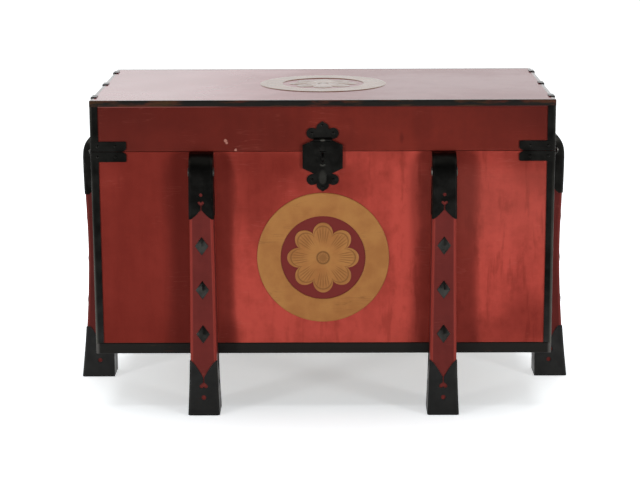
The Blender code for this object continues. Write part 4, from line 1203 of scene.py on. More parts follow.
def cap_mesh():
    """The sheet between two skins, pierced, with a painted highlight marked on its bend over the leg's head.
    """
    outer = solid(leg_skin(leg_levels(CAP_BOTTOM, LEG_TOP), FIT + SKIN, BINDING))
    inner = solid(leg_skin(leg_levels(CAP_BOTTOM - CAP_NOTCH, LEG_TOP), FIT, 2 * LEG_LEDGE))
    cutters = skin_cutters(CAP_BOTTOM, 1, CAP_NOTCH, CAP_HEART_WIDTH, CAP_DOT_GAP, -BINDING)
    mesh = carved(outer, [inner, ROPE_BORE, *cutters])
    off_bend = (points_of(mesh)[:, 2] - LEG_TOP + HEAD_HIGHLIGHT_DROP) / HEAD_HIGHLIGHT_WIDTH
    return marked(mesh, "edge_rub_and_highlight", HEAD_HIGHLIGHT * np.exp(-off_bend ** 2))


def shoe_mesh():
    """The sheet round the foot, between two skins, notched and pierced from its upper edge."""
    outer = solid(leg_skin(leg_levels(FIT, SHOE_TOP), FIT + SKIN, LEG_LEDGE + FIT + SKIN))
    inner = solid(leg_skin(leg_levels(0.0, SHOE_TOP + SHOE_NOTCH), FIT, LEG_LEDGE + FIT))
    cutters = skin_cutters(SHOE_TOP, -1, SHOE_NOTCH, SHOE_HEART_WIDTH, SHOE_DOT_GAP, 0.0)
    return carved(outer, [inner, *cutters])


CAP = cap_mesh()
SHOE = shoe_mesh()
for side, place in LEG_PLACES.items():
    for name, mesh in (("cap", CAP), ("shoe", SHOE)):
        piece(f"iron_{name}_{side}", placed(mesh, place), IRON, "chest", [f"leg_{name}_{side}"],
              SHEET_EASE)
print("cap faces", len(CAP.polygons), "shoe faces", len(SHOE.polygons))

# %% [markdown]
# ## Studs and rope-hole rims
# Three diamond studs on each leg are low four-sided pyramids, cast in iron and driven in by a spike
# behind. Each has a thin upright edge, then four facets. A cone of four sides would do, but it couldn't
# lean with the leg's sloping face. A rope hole wears at its mouth, so a half-round rim of iron lines both
# ends: a half circle carried round the hole.

# %% Diamond studs
STUD_WIDTH = 0.027
STUD_HEIGHT = 0.038
STUD_RISE = 0.004
STUD_EDGE = 0.0008
STUD_PITCH = 0.090
STUD_SHARES = np.array([1.0, 1.0, 0.04])


def stud_mesh(z):
    """A diamond drawn at three heights above the leg's sloping face: foot, edge and a small flat tip."""
    step = STUD_HEIGHT / 4
    slope = (leg_reach(np.array([z + step])) - leg_reach(np.array([z - step])))[0] / (2 * step)
    along = np.array([0.0, -slope, 1.0]) / math.hypot(slope, 1.0)
    out = np.array([0.0, -1.0, -slope]) / math.hypot(slope, 1.0)
    foot = np.array([0.0, -leg_reach(np.array([z]))[0], z])
    corners = np.array([[1, 0], [0, 1], [-1, 0], [0, -1]]) * (STUD_WIDTH / 2, STUD_HEIGHT / 2)
    flat = STUD_SHARES[:, None, None] * (corners[:, :1] * (1.0, 0.0, 0.0) + corners[:, 1:] * along)
    rise = np.array([-FIT, STUD_EDGE, STUD_RISE])[:, None, None] * out
    return solid(foot + flat + rise)


STUD_LEVELS = (SHOE_TOP + CAP_BOTTOM) / 2 + STUD_PITCH * np.array([-1, 0, 1])
STUDS = joined([stud_mesh(z) for z in STUD_LEVELS])
for side, place in LEG_PLACES.items():
    piece(f"diamond_studs_{side}", placed(STUDS, place), WORN_IRON, "chest", ease=PLATE_EASE)
print("studs at heights", STUD_LEVELS.round(4))

# %% Rope-hole rims
RIM_RADIUS = 0.0072
RIM_HALF = 0.0026
RIM_RISE = 0.0020
RIM_BOW_STEPS = 11
RIM_STEPS = 40


def hoop(rings):
    """A ring-shaped solid: rows and columns both close on themselves."""
    return made_mesh(rings, ring_faces(*rings.shape[:2], close_rows=True).tolist())


def rim_mesh(way):
    """A half circle, closed below, carried round the rope hole's axis on one flank of the cap."""
    bow = np.linspace(0, np.pi, RIM_BOW_STEPS)
    foot = RIM_RADIUS + np.array([-RIM_HALF, RIM_HALF])
    radius = np.concatenate((RIM_RADIUS + RIM_HALF * np.cos(bow), foot))
    rise = np.concatenate((RIM_RISE * np.sin(bow), [-FIT, -FIT]))
    turn = np.linspace(0, 2 * np.pi, RIM_STEPS, endpoint=False)[:, None]
    flank = leg_width(np.array([ROPE_HOLE_Z]))[0] / 2 + FIT + SKIN
    x = np.broadcast_to(way * (flank + rise), (len(turn), len(rise)))
    y = -ROPE_HOLE_REACH + radius * np.cos(turn)
    z = ROPE_HOLE_Z + radius * np.sin(turn)
    return hoop(np.stack((x, y, z), axis=-1))


RIMS = joined([rim_mesh(-1), rim_mesh(1)])
for side, place in LEG_PLACES.items():
    # The front legs' rims get a brighter iron than the end legs' rims: worn metal and partly a painted
    # highlight.
    rim_iron = WORN_IRON if side in ("left", "right") else RIM_WEAR_AND_GLINT_IRON
    piece(f"rope_rims_{side}", placed(RIMS, place), rim_iron, "chest")
print("rims:", 2 * len(LEG_PLACES))

# %% [markdown]
# ## Corner irons and edge strips
# Every upright corner is covered by a thin black angle that widens into a strap at the seam, half on the
# lid and half on the body, and the lid's top edge has an angle strip mitred at the corners. Bent plates
# would need an inside and an outside, so all of them are one L-shaped section carried along a straight
# path. The strap's arms shorten towards the seam, which leaves the notch.

# %% An angle section
OUTER_ROUND = 0.0018
HIGHLIGHT_REACH = 0.006
ROUND_STEPS = 5


def angle_section(arm_p, arm_q, thickness, feather=0.0):
    """An L whose rounded outer corner is at the origin, with arms along +p and +q.

    Arms may be columns of rows. A feather thins the end of the p arm from its outer face.
    """
    bend = arc(OUTER_ROUND, OUTER_ROUND, OUTER_ROUND, 270, 180, ROUND_STEPS)
    bend = np.concatenate(([[HIGHLIGHT_REACH, 0.0]], bend, [[0.0, HIGHLIGHT_REACH]]))
    share_p = np.array([1, *np.zeros(len(bend)), 0, 0, 0, 1])
    share_q = np.array([0, *np.zeros(len(bend)), 1, 1, 0, 0])
    plain_p = np.array([0, *bend[:, 0], 0, thickness, thickness, 0])
    plain_q = np.array([feather, *bend[:, 1], 0, 0, thickness, thickness])
    return arm_p * share_p + plain_p, arm_q * share_q + plain_q


def upright_angle(arms, heights, thickness, proud):
    """Sections of equal arms stacked at their heights, standing proud of the corner."""
    p, q = angle_section(arms[:, None], arms[:, None], thickness)
    z = np.broadcast_to(heights[:, None], p.shape)
    return solid(np.stack((p - proud, q - proud, z), axis=-1))


print("points in an angle:", len(angle_section(np.ones(1), np.ones(1), BINDING)[0]))

# %% Corner irons
STRAP = 0.002
STRAP_LENGTH = 0.072
STRAP_HEIGHT = 0.020
STRAP_NOTCH = 0.008
STRAP_NOTCH_RISE = 0.0075
STRAP_CORNER = 0.003
STRAP_NOTCH_ROWS = 9
STRAP_CORNER_ROWS = 7
CORNER_WIDTH = 0.016
CORNER_HIGHLIGHT = 1.0
CORNER_HIGHLIGHT_FALL = 0.30


def corner_iron(height):
    """The strap stands on the seam at z = 0: notched there by a square law, with a round far corner.

    The outer corner is marked with a painted highlight, stronger with the distance from the seam.
    """
    cut = np.linspace(0, 1, STRAP_NOTCH_ROWS)
    turn = np.linspace(0, np.pi / 2, STRAP_CORNER_ROWS)
    arms = STRAP_LENGTH - np.concatenate((STRAP_NOTCH * (1 - cut) ** 2, STRAP_CORNER * (1 - np.cos(turn))))
    heights = np.concatenate((STRAP_NOTCH_RISE * cut, STRAP_HEIGHT - STRAP_CORNER * (1 - np.sin(turn))))
    strap = upright_angle(arms, heights, STRAP, STRAP - BINDING)
    ends = np.array([STRAP_HEIGHT / 2, height])
    angle = upright_angle(np.full(2, CORNER_WIDTH), ends, BINDING, 0.0)
    mesh = carved(strap, [angle], "UNION")
    x, y, z = points_of(mesh).T
    outside = np.minimum(x, y) < BINDING / 2
    highlight = CORNER_HIGHLIGHT * (z / CORNER_HIGHLIGHT_FALL).clip(0, 1) * (1 - np.maximum(x, y) / HIGHLIGHT_REACH).clip(0, 1)
    return marked(mesh, "edge_rub_and_highlight", highlight * outside)


print("strap:", STRAP_LENGTH, "by", STRAP_HEIGHT)

# %% Irons at the corners
EDGE_FACE = 0.0123
CORNERS = {"front_left": 0.0, "front_right": math.pi / 2, "back_right": math.pi, "back_left": -math.pi / 2}


def corner_place(corner, z):
    """From an iron's own frame, its corner at the origin, to a corner of the box at a height."""
    out = Matrix.Rotation(CORNERS[corner], 4, "Z") @ Vector((-1, -1, 0))
    spot = (round(out.x) * HALF_WIDTH, round(out.y) * HALF_DEPTH, z)
    return Matrix.Translation(spot) @ Matrix.Rotation(CORNERS[corner], 4, "Z")


TURN_OVER = Matrix.Rotation(math.pi / 2, 4, "Z") @ Matrix.Rotation(math.pi, 4, "X")
LID_IRON = corner_iron(TOP_Z - EDGE_FACE - FIT - LID_BOTTOM)
BODY_IRON = placed(corner_iron(WALL_TOP - RAIL_HIGH.z - FIT), TURN_OVER)
HALVES = (("lid", "lid", LID_IRON, LID_BOTTOM), ("body", "chest", BODY_IRON, WALL_TOP))
for corner in CORNERS:
    for owner, body, iron, seam in HALVES:
        piece(f"{owner}_corner_{corner}", placed(iron, corner_place(corner, seam)), IRON, body,
              [f"{owner}_corner_iron_{corner}"], SHEET_EASE)
print("corner irons:", 2 * len(CORNERS))

# %% Edge strips and clips
EDGE_TOP = 0.011
STRIP_FEATHER = 0.0012
CLIP = 0.0018
CLIP_LENGTH = 0.030
CLIP_WIDTH = 0.012
CLIP_SPREAD = 0.398
HAIR = 0.0001


def edge_strip(length, arm_top, arm_face, thickness, lift, mitred, feather):
    """An L along x over the lid's top edge: p runs in on the top, q down the face. Mitred ends lose p."""
    p, q = angle_section(arm_top, arm_face, thickness, feather)
    x = np.array([[-1], [1]]) * (length / 2 - mitred * p)
    shape = x.shape
    return solid(np.stack((x, np.broadcast_to(p - lift, shape), np.broadcast_to(lift - q, shape)), axis=-1))


SIDES = {"front": (0.0, HALF_DEPTH, 2 * HALF_WIDTH), "right": (math.pi / 2, HALF_WIDTH, 2 * HALF_DEPTH),
         "back": (math.pi, HALF_DEPTH, 2 * HALF_WIDTH), "left": (-math.pi / 2, HALF_WIDTH, 2 * HALF_DEPTH)}
CLIP_MESH = edge_strip(CLIP_LENGTH, CLIP_WIDTH, CLIP_WIDTH, CLIP, CLIP + HAIR, mitred=0.0, feather=0.0)
CLIP_SHIFTS = [Matrix.Translation((along, 0, 0)) for along in (-CLIP_SPREAD / 2, 0, CLIP_SPREAD / 2)]
for side, (turn, reach, length) in SIDES.items():
    place = Matrix.Rotation(turn, 4, "Z") @ Matrix.Translation((0, -reach, TOP_Z))
    strip = edge_strip(length - 2 * FIT, EDGE_TOP, EDGE_FACE, BINDING, lift=0.0, mitred=1.0,
                       feather=STRIP_FEATHER)
    piece(f"edge_strip_{side}", placed(strip, place), BLACK_LACQUER, "lid",
          [f"lid_edge_binding_{side}"], SHEET_EASE)
    if side in ("left", "right"):
        clips = joined([placed(CLIP_MESH, place @ shift) for shift in CLIP_SHIFTS])
        piece(f"edge_clips_{side}", clips, WORN_IRON, "lid", ease=PLATE_EASE)
print("edge strips:", len(SIDES))

# %% [markdown]
# ## Lacquer on the lid
# The lid's lacquer is built up in many coats, until it lies level with the strips along its edges and no
# step shows. The board under it keeps its solid. A raised board would meet the strips from below, so the
# lacquer is a thin block of its own that starts under the strips' feathered edges.

# %% Lacquer on the lid, level with the strips
LEVEL_INSET = 0.0070
LEVEL_DROP = 0.0003
LEVEL_Z = TOP_Z - LEVEL_DROP
reach_x = HALF_WIDTH - LEVEL_INSET
reach_y = HALF_DEPTH - LEVEL_INSET
skin = slab((-reach_x, -reach_y, LID_FACE_Z - FIT), (reach_x, reach_y, LEVEL_Z))
piece("lid_top_skin", skin, LID_TOP_RED, "lid")
print("lacquer on the lid:", round((LEVEL_Z - LID_FACE_Z) * 1000, 2), "mm thick")

# %% [markdown]
# ## The hasp
# The lid plate and the body plate are three-lobed, a six-sided flap hangs between them on a pin, and a
# staple comes through the flap's slot for a lock. Curves could be traced and filled, but arcs with named
# sizes are easier to fit to the frame. Each plate is an outline of arcs carried through its thickness, its
# knuckles are rods joined to it, and the pin's bore and the room for the other knuckles are cut out.

# %% Sizes of the hasp
HASP_LOW, HASP_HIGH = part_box("hasp_pin")
HASP_Y = (HASP_LOW.y + HASP_HIGH.y) / 2
HASP_Z = (HASP_LOW.z + HASP_HIGH.z) / 2
HASP_BARREL = HASP_HIGH.x - HASP_LOW.x
HASP_PIN = (HASP_HIGH.z - HASP_LOW.z) / 2
HASP_KNUCKLE = 0.004
HASP_LEAF = 0.002
HASP_FLAP = 0.0028
FLAP_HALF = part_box("hasp_flap")[1].x
TONGUE_END = HASP_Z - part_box("hasp_flap")[0].z
TONGUE_HALF = 0.008
TONGUE_LENGTH = 0.021
TONGUE_ROOT = 0.002
TONGUE_STEPS = 10
FLAP_END = TONGUE_END - TONGUE_LENGTH
FLAP_SHOULDER = 0.0105
FLAP_HEEL = 0.011
SLOT_HALF = 0.006
SLOT_WEB = 0.003
SLOT_STEPS = 16
FLAP_RIM = 0.018
GAP = 0.0006
WAIST = HASP_BARREL / 2 - GAP
SIDE_LOBE = 0.011
SIDE_LOBE_X = WAIST + SIDE_LOBE / 3
SIDE_LOBE_RISE = 0.01265
TOP_LOBE = 0.0125
SIDE_LOBE_ARC = (-70, 118, 26)
TOP_LOBE_ARC = (-6, 72, 14)
LOBE_TIP = 0.0025
print("hasp: axis at", round(HASP_Y, 4), round(HASP_Z, 4), "flap to", round(TONGUE_END, 4))

# %% Outlines of the hasp
def trefoil(root):
    """Up from a straight root to a waist at nought, round a side lobe, then round the top lobe to its tip.

    Each lobe is an arc with a first angle, a last angle and a number of steps.
    """
    side_lobe = arc(SIDE_LOBE_X, SIDE_LOBE_RISE, SIDE_LOBE, *SIDE_LOBE_ARC)
    top_lobe = arc(0.0, 2 * SIDE_LOBE, TOP_LOBE, *TOP_LOBE_ARC)
    tip = [[0.0, 2 * SIDE_LOBE + TOP_LOBE + LOBE_TIP]]
    return mirrored(np.concatenate(([[WAIST, root], [WAIST, 0.0]], side_lobe, top_lobe, tip)))


def flap_outline():
    """Six sides below the pin, with a round-ended tongue at the lower end."""
    sides = [[WAIST, 0.0], [FLAP_HALF, -FLAP_SHOULDER], [FLAP_HALF, -FLAP_END + FLAP_HEEL],
             [WAIST, -FLAP_END], [TONGUE_HALF, -FLAP_END - TONGUE_ROOT]]
    tongue = arc(0.0, -TONGUE_END + TONGUE_HALF, TONGUE_HALF, 0, -90, TONGUE_STEPS)
    return mirrored(np.concatenate((sides, tongue)))


def slot_outline():
    """Two half circles joined by straight sides."""
    start = HASP_KNUCKLE + SLOT_WEB + SLOT_HALF
    end = FLAP_END - FLAP_RIM - SLOT_HALF
    upper_end = arc(0, -start, SLOT_HALF, 0, 180, SLOT_STEPS)
    lower_end = arc(0, -end, SLOT_HALF, 180, 360, SLOT_STEPS)
    return np.concatenate((upper_end, lower_end))


print("points: plate", len(trefoil(0.0)), "flap", len(flap_outline()), "slot", len(slot_outline()))

# %% Leaves on a pin
def knuckle_spans(length):
    """A barrel in three: two outer knuckles, and a middle one that reaches a sixth of the length each way."""
    inner = length / 6
    return [(-length / 2, -inner - FIT), (inner + FIT, length / 2)], [(-inner + FIT, inner - FIT)]


def leaf(sheet, centre, barrel, pin, own, other):
    """Join a sheet to its knuckles on the axis, then cut out the other leaf's knuckles and the pin's bore."""
    x, y, z = centre
    fused = carved(sheet, [rod(barrel, x + start, x + end, y, z) for start, end in own], "UNION")
    room = [rod(barrel + GAP, x + start - FIT, x + end + FIT, y, z) for start, end in other]
    reach = max(end for _, end in own + other) + FIT
    return carved(fused, [*room, rod(pin + FIT, x - reach, x + reach, y, z)])


OUTER_KNUCKLES, MIDDLE_KNUCKLE = knuckle_spans(HASP_BARREL)
print("knuckles:", len(OUTER_KNUCKLES), "outside,", len(MIDDLE_KNUCKLE), "in the middle")

# %% The lid's plate
HASP_CENTRE = (0.0, HASP_Y, HASP_Z)
PLATE_BACK = HASP_Y + HASP_KNUCKLE
PLATE_FRONT = PLATE_BACK - HASP_LEAF
upper = trefoil(LID_BOTTOM - HASP_Z) + (0.0, HASP_Z)
upper_plate = leaf(prism(upper, PLATE_BACK, PLATE_FRONT), HASP_CENTRE, HASP_KNUCKLE, HASP_PIN,
                   OUTER_KNUCKLES, MIDDLE_KNUCKLE)
piece("hasp_lid_plate", upper_plate, FORGED_IRON, "lid", ["hasp_plate"], PLATE_EASE)
print("lid plate:", len(upper_plate.polygons), "faces")

# %% The flap, with painted highlights
flap = prism(flap_outline() + (0.0, HASP_Z), HASP_Y + HASP_FLAP / 2, HASP_Y - HASP_FLAP / 2)
slot = prism(slot_outline() + (0.0, HASP_Z), HASP_Y + HASP_KNUCKLE, HASP_Y - HASP_KNUCKLE)
flap = leaf(carved(flap, [slot]), HASP_CENTRE, HASP_KNUCKLE, HASP_PIN, MIDDLE_KNUCKLE, OUTER_KNUCKLES)
# Painted highlights on the flap: the middle knuckle, the tongue and the lower end of the slot.
FLAP_HIGHLIGHTS = (((0.0, HASP_Y - HASP_KNUCKLE, HASP_Z), (0.006, 0.004, 0.004), 0.9),
           ((0.0, HASP_Y, HASP_Z - TONGUE_END + 0.012), (0.010, 0.010, 0.020), 0.24),
           ((0.0, HASP_Y, HASP_Z - FLAP_END + FLAP_RIM), (0.007, 0.010, 0.004), 0.6))
FLAP_IRON = black_iron("flap_iron", level=0.0070, dents=160.0, depth=0.00025, worn=FLAP_HIGHLIGHTS)
piece("hasp_swing_flap", flap, FLAP_IRON, "hasp", ["hasp_flap"], PLATE_EASE)
print("flap:", len(flap.polygons), "faces,", len(FLAP_HIGHLIGHTS), "painted_highlight spots")

# %% The body's plate
STAPLE_LOW, STAPLE_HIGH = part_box("hasp_staple")
STAPLE_WIRE = (STAPLE_HIGH.x - STAPLE_LOW.x) / 2
STAPLE_Z = (STAPLE_LOW.z + STAPLE_HIGH.z) / 2
STAPLE_BEND = (STAPLE_HIGH.z - STAPLE_LOW.z) / 2 - STAPLE_WIRE
STAPLE_STEPS = 20
EYE_RADIUS = STAPLE_WIRE + FIT
EYE_HEIGHTS = (STAPLE_Z - STAPLE_BEND, STAPLE_Z + STAPLE_BEND)
lower = trefoil(HASP_Z - WALL_TOP - FLAP_END) * (1, -1) + (0.0, HASP_Z - FLAP_END)
eyes = [arc(0.0, height, EYE_RADIUS, 0, 360, STAPLE_STEPS)[:-1] for height in EYE_HEIGHTS]
lower_plate = carved(prism(lower, PLATE_BACK, PLATE_FRONT),
                     [prism(eye, PLATE_BACK + HASP_LEAF, PLATE_FRONT - HASP_LEAF) for eye in eyes])
piece("hasp_body_plate", lower_plate, FORGED_IRON, "chest", ["staple_plate"], PLATE_EASE)
print("body plate:", len(lower_plate.polygons), "faces")

# %% The staple
def staple_mesh():
    """A circle carried along a hairpin: out of the wall, round a half circle and back in."""
    bend = arc(STAPLE_LOW.y + STAPLE_WIRE + STAPLE_BEND, STAPLE_Z, STAPLE_BEND, 90, 270, STAPLE_STEPS)
    ends = STAPLE_Z + np.array([STAPLE_BEND, -STAPLE_BEND])
    path = np.concatenate(([[STAPLE_HIGH.y, ends[0]]], bend, [[STAPLE_HIGH.y, ends[1]]]))
    ahead = np.gradient(path, axis=0)
    ahead /= np.linalg.norm(ahead, axis=1, keepdims=True)
    turn = np.linspace(0, 2 * np.pi, STAPLE_STEPS, endpoint=False)
    side = STAPLE_WIRE * np.sin(turn)
    x = np.broadcast_to(STAPLE_WIRE * np.cos(turn), (len(path), len(turn)))
    y = path[:, :1] - ahead[:, 1:] * side
    z = path[:, 1:] + ahead[:, :1] * side
    return solid(np.stack((x, y, z), axis=-1))


piece("hasp_eye", staple_mesh(), FORGED_IRON, "chest", ["hasp_staple"])
print("staple: wire", round(2000 * STAPLE_WIRE, 2), "mm thick")

# %% [markdown]
# ## Back hinges
# The back isn't in the picture. A chest of this kind has two hinges there, each with a leaf on the lid, a
# longer leaf on the body and three knuckles on a pin. A strip and a rod would look the same when shut, but
# the knuckles have to pass each other as the lid opens, so the leaves are made like the hasp's plates.

# %% Hinges
HINGE_KNUCKLE = 0.005
HINGE_LEAF = 0.002
HINGE_TIP_SHARE = 0.7


def hinge_leaf(side, owner, way, own, other):
    """A leaf that narrows from its barrel to its tip, upwards on the lid and downwards on the body."""
    pin_low, pin_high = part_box(f"hinge_pin_{side}")
    centre = (pin_low + pin_high) / 2
    half = (pin_high.x - pin_low.x) / 2 - GAP
    low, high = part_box(f"hinge_{owner}_leaf_{side}")
    tip_z = high.z if way > 0 else low.z
    root_z = LID_BOTTOM if way > 0 else WALL_TOP
    tip = half * HINGE_TIP_SHARE
    outline = np.array([[-half, root_z], [half, root_z], [tip, tip_z], [-tip, tip_z]]) + (centre.x, 0.0)
    back = centre.y - HINGE_KNUCKLE
    sheet = prism(outline, back, back + HINGE_LEAF)
    pin = (pin_high.z - pin_low.z) / 2
    return leaf(sheet, centre, HINGE_KNUCKLE, pin, own, other)


for side in ("left", "right"):
    pin_low, pin_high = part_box(f"hinge_pin_{side}")
    spans = knuckle_spans(pin_high.x - pin_low.x)
    for owner, way, body, own, other in (("body", -1, "chest", *spans), ("lid", 1, "lid", *spans[::-1])):
        plate = hinge_leaf(side, owner, way, own, other)
        piece(f"hinge_{owner}_plate_{side}", plate, IRON, body, [f"hinge_{owner}_leaf_{side}"],
              PLATE_EASE)
print("hinges: 2, with a leaf each for lid and body")

# %% [markdown]
# ## Nails
# Round-headed nails hold the straps, plates and hinge leaves. A nail head is a low dome: rings whose
# radius is a cosine and whose height is a sine. A sphere would waste its lower half inside the wood. Nails
# are small and many, so each body's nails are one piece.

# %% A nail head
NAIL_RADIUS = 0.0031
NAIL_RISE = 0.0016
NAIL_BOW = 0.47
NAIL_BOW_STEPS = 6
NAIL_STEPS = 16


def nail_mesh():
    """A dome about Z on a short straight edge, closed by small flat ends."""
    bow = np.linspace(0, NAIL_BOW * np.pi, NAIL_BOW_STEPS)
    radius = NAIL_RADIUS * np.concatenate(([1.0], np.cos(bow)))[:, None]
    height = np.concatenate(([-FIT], NAIL_RISE * np.sin(bow)))[:, None]
    turn = np.linspace(0, 2 * np.pi, NAIL_STEPS, endpoint=False)
    flat = np.broadcast_to(height, (len(height), len(turn)))
    return solid(np.stack((radius * np.cos(turn), radius * np.sin(turn), flat), axis=-1))


NAIL = nail_mesh()
FACE_FRONT = Matrix.Rotation(math.pi / 2, 4, "X")
FACE_LEFT = Matrix.Rotation(-math.pi / 2, 4, "Y")
FACE_BACK = Matrix.Rotation(-math.pi / 2, 4, "X")
print("nail head:", len(NAIL.polygons), "faces")

# %% Places for the nails
NAIL_EDGE = 0.014
HINGE_NAIL_SHARES = (0.42, 0.78)


def strap_nails(z, way):
    """Two nails on each arm of every corner strap, above or below the seam."""
    proud = STRAP - BINDING
    places = []
    for corner in CORNERS:
        for along in (NAIL_EDGE, STRAP_LENGTH - STRAP_NOTCH - NAIL_EDGE):
            at_corner = corner_place(corner, z + way * STRAP_HEIGHT / 2)
            places.append(at_corner @ Matrix.Translation((along, -proud, 0)) @ FACE_FRONT)
            places.append(at_corner @ Matrix.Translation((-proud, along, 0)) @ FACE_LEFT)
    return places


def lobe_nails(z, way):
    """One nail on each lobe of a hasp plate whose waist is at a height."""
    top_rise = 2 * SIDE_LOBE + TOP_LOBE / 2
    lobes = ((-SIDE_LOBE_X, SIDE_LOBE_RISE), (SIDE_LOBE_X, SIDE_LOBE_RISE), (0.0, top_rise))
    return [Matrix.Translation((x, PLATE_FRONT, z + way * rise)) @ FACE_FRONT for x, rise in lobes]


def hinge_nails(owner, way):
    """Three nails on each hinge leaf: two near the barrel and one near the tip."""
    places = []
    for side in ("left", "right"):
        low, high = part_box(f"hinge_{owner}_leaf_{side}")
        middle = (low.x + high.x) / 2
        half = (high.x - low.x) / 2
        height = way * (high.z - SEAM_Z if way > 0 else SEAM_Z - low.z)
        root, tip = (share * height for share in HINGE_NAIL_SHARES)
        for x, rise in ((-half / 2, root), (half / 2, root), (0.0, tip)):
            spot = (middle + x, WALL_Y + FIT + HINGE_LEAF, SEAM_Z + rise)
            places.append(Matrix.Translation(spot) @ FACE_BACK)
    return places


LID_NAILS = strap_nails(LID_BOTTOM, 1) + lobe_nails(HASP_Z, 1) + hinge_nails("lid", 1)
BODY_NAILS = strap_nails(WALL_TOP, -1) + lobe_nails(HASP_Z - FLAP_END, -1) + hinge_nails("body", -1)
print("nails:", len(LID_NAILS), "on the lid,", len(BODY_NAILS), "on the body")

# %% Drive the nails
for name, body, places in (("lid_nails", "lid", LID_NAILS), ("body_nails", "chest", BODY_NAILS)):
    made = piece(name, joined([placed(NAIL, place) for place in places]), FORGED_IRON, body)
    print(name, len(made.data.polygons), "faces")

# %% [markdown]
# ## Medallions
# A ring in low relief is built up in lacquer and dusted with gold, on the front and on the lid. Inside it
# is a plain eight-petalled flower. Sculpting would do, but a formula keeps all petals alike. Both are
# height fields in polar form: the ring rounds over at its edges, and the petals swell between their
# notches, with fine grooves for veins.

# %% The ring
RING_ROUND = 0.0013
RING_EDGE_STEPS = 5
RING_FACE_STEPS = 10
RING_STEPS = 200
WAVE_DEPTH = 0.016
WAVES = ((5, 0, 1), (9, 60, 0), (14, -90, 0))


def ring_mesh():
    """A closed section, flat below and rounded at both upper edges, carried round the centre.

    The upper face rises and falls by a twentieth, as hand-laid lacquer does. That is a sum of sines, each
    with how often it swings in a turn, how it drifts with the radius, and where it starts.
    """
    top = MEDALLION_RELIEF - RING_ROUND
    outer_edge = arc(MEDALLION_RADIUS - RING_ROUND, top, RING_ROUND, 0, 90, RING_EDGE_STEPS)
    across = np.linspace(MEDALLION_RADIUS - RING_ROUND, INNER_RADIUS + RING_ROUND, RING_FACE_STEPS)[1:-1]
    face = np.stack((across, np.full(len(across), MEDALLION_RELIEF)), axis=-1)
    inner_edge = arc(INNER_RADIUS + RING_ROUND, top, RING_ROUND, 90, 180, RING_EDGE_STEPS)
    section = np.concatenate(([[MEDALLION_RADIUS, 0.0]], outer_edge, face, inner_edge, [[INNER_RADIUS, 0.0]]))
    turn = np.linspace(0, 2 * np.pi, RING_STEPS, endpoint=False)[:, None]
    radius, rise = section.T
    waves = sum(np.sin(swings * turn + drift * radius + start) for swings, drift, start in WAVES)
    height = rise * (1 + WAVE_DEPTH * (waves - len(WAVES)))
    return hoop(np.stack((radius * np.cos(turn), radius * np.sin(turn), height), axis=-1))


RING = ring_mesh()
print("ring:", len(RING.polygons), "faces")

# %% Sizes of the flower
FLOWER_RADIUS = 0.072
FLOWER_SHARES = (0.985, 0.03)
FLOWER_ROWS = 46
PETALS = 8
PETAL_STEPS = 44
PETAL_NOTCH = 0.020
PETAL_POWER = 0.7
PETAL_BASE = 0.62
PETAL_SWELL = 0.30
SWELL_POWER = 1.4
RIM_SHARE = 0.42
VEIN_SPOTS = (0.0, 0.13, 0.26)
VEIN_WIDTH = 0.018
VEIN_MIDDLE = 0.66
VEIN_LENGTH = 0.2
VEIN_DEPTH = 0.16
BORDER_SHARE = 0.90
BORDER_WIDTH = 0.016
BORDER_DEPTH = 0.14
BOSS_RADIUS = 0.0125
BOSS_EDGE = 0.0006
BOSS_HEIGHT = 0.66
BEAD_RADIUS = 0.0092
BEAD_WIDTH = 0.0018
BEAD_HEIGHT = 0.28
BEAD_GROOVE = 0.6
print("petals:", PETALS, "on a flower", round(2 * FLOWER_RADIUS, 4), "wide")

# %% The flower
def flower_mesh():
    """Rings from the outline inwards: the rim dips between petals, and the height is that of domed petals.

    The crown of a petal is a cosine of half the petal count times the angle. Petals swell by the sine of the
    way in, veins are narrow grooves beside each petal's middle, and a beaded boss fills the centre.
    """
    turn = np.linspace(0, 2 * np.pi, PETALS * PETAL_STEPS, endpoint=False)
    crown = np.abs(np.cos(PETALS / 2 * turn)) ** PETAL_POWER
    rim = FLOWER_RADIUS - PETAL_NOTCH * (1 - crown)
    share = np.concatenate(([1.0, 1.0], np.linspace(*FLOWER_SHARES, FLOWER_ROWS)))[:, None]
    radius = rim * share
    swell = np.sin(np.pi * share.clip(0, 1) ** SWELL_POWER) * crown
    off_middle = np.abs((turn * PETALS / (2 * np.pi) + 0.5) % 1 - 0.5)
    veins = sum(np.exp(-((off_middle - spot) / VEIN_WIDTH) ** 2) for spot in VEIN_SPOTS)
    veins = veins * np.exp(-((share - VEIN_MIDDLE) / VEIN_LENGTH) ** 4)
    border = np.exp(-((share - BORDER_SHARE) / BORDER_WIDTH) ** 2) + 0 * turn
    boss = 1 / (1 + np.exp((radius - BOSS_RADIUS) / BOSS_EDGE))
    beads = boss * np.exp(-((radius - BEAD_RADIUS) / BEAD_WIDTH) ** 2) * np.cos(PETALS * turn) ** 2
    petals = PETAL_BASE + PETAL_SWELL * swell - VEIN_DEPTH * veins - BORDER_DEPTH * border
    middle = BOSS_HEIGHT * boss + BEAD_HEIGHT * beads
    height = MEDALLION_RELIEF * petals * (1 - boss) + MEDALLION_RELIEF * middle
    height[0] = 0.0
    height[1] = RIM_SHARE * MEDALLION_RELIEF
    mesh = solid(np.stack((radius * np.cos(turn), radius * np.sin(turn), height), axis=-1))
    # The groove_shade mark is painted shade in the veins, the border, round the boss and between the beads.
    ring = np.exp(-((radius - BOSS_RADIUS) / (2 * BOSS_EDGE)) ** 2)
    groove_shade = (veins + border) * (1 - boss) + ring + BEAD_GROOVE * (boss - beads)
    return marked(mesh, "groove_shade", groove_shade.clip(0, 1))


FLOWER = flower_mesh()
print("flower:", len(FLOWER.polygons), "faces")

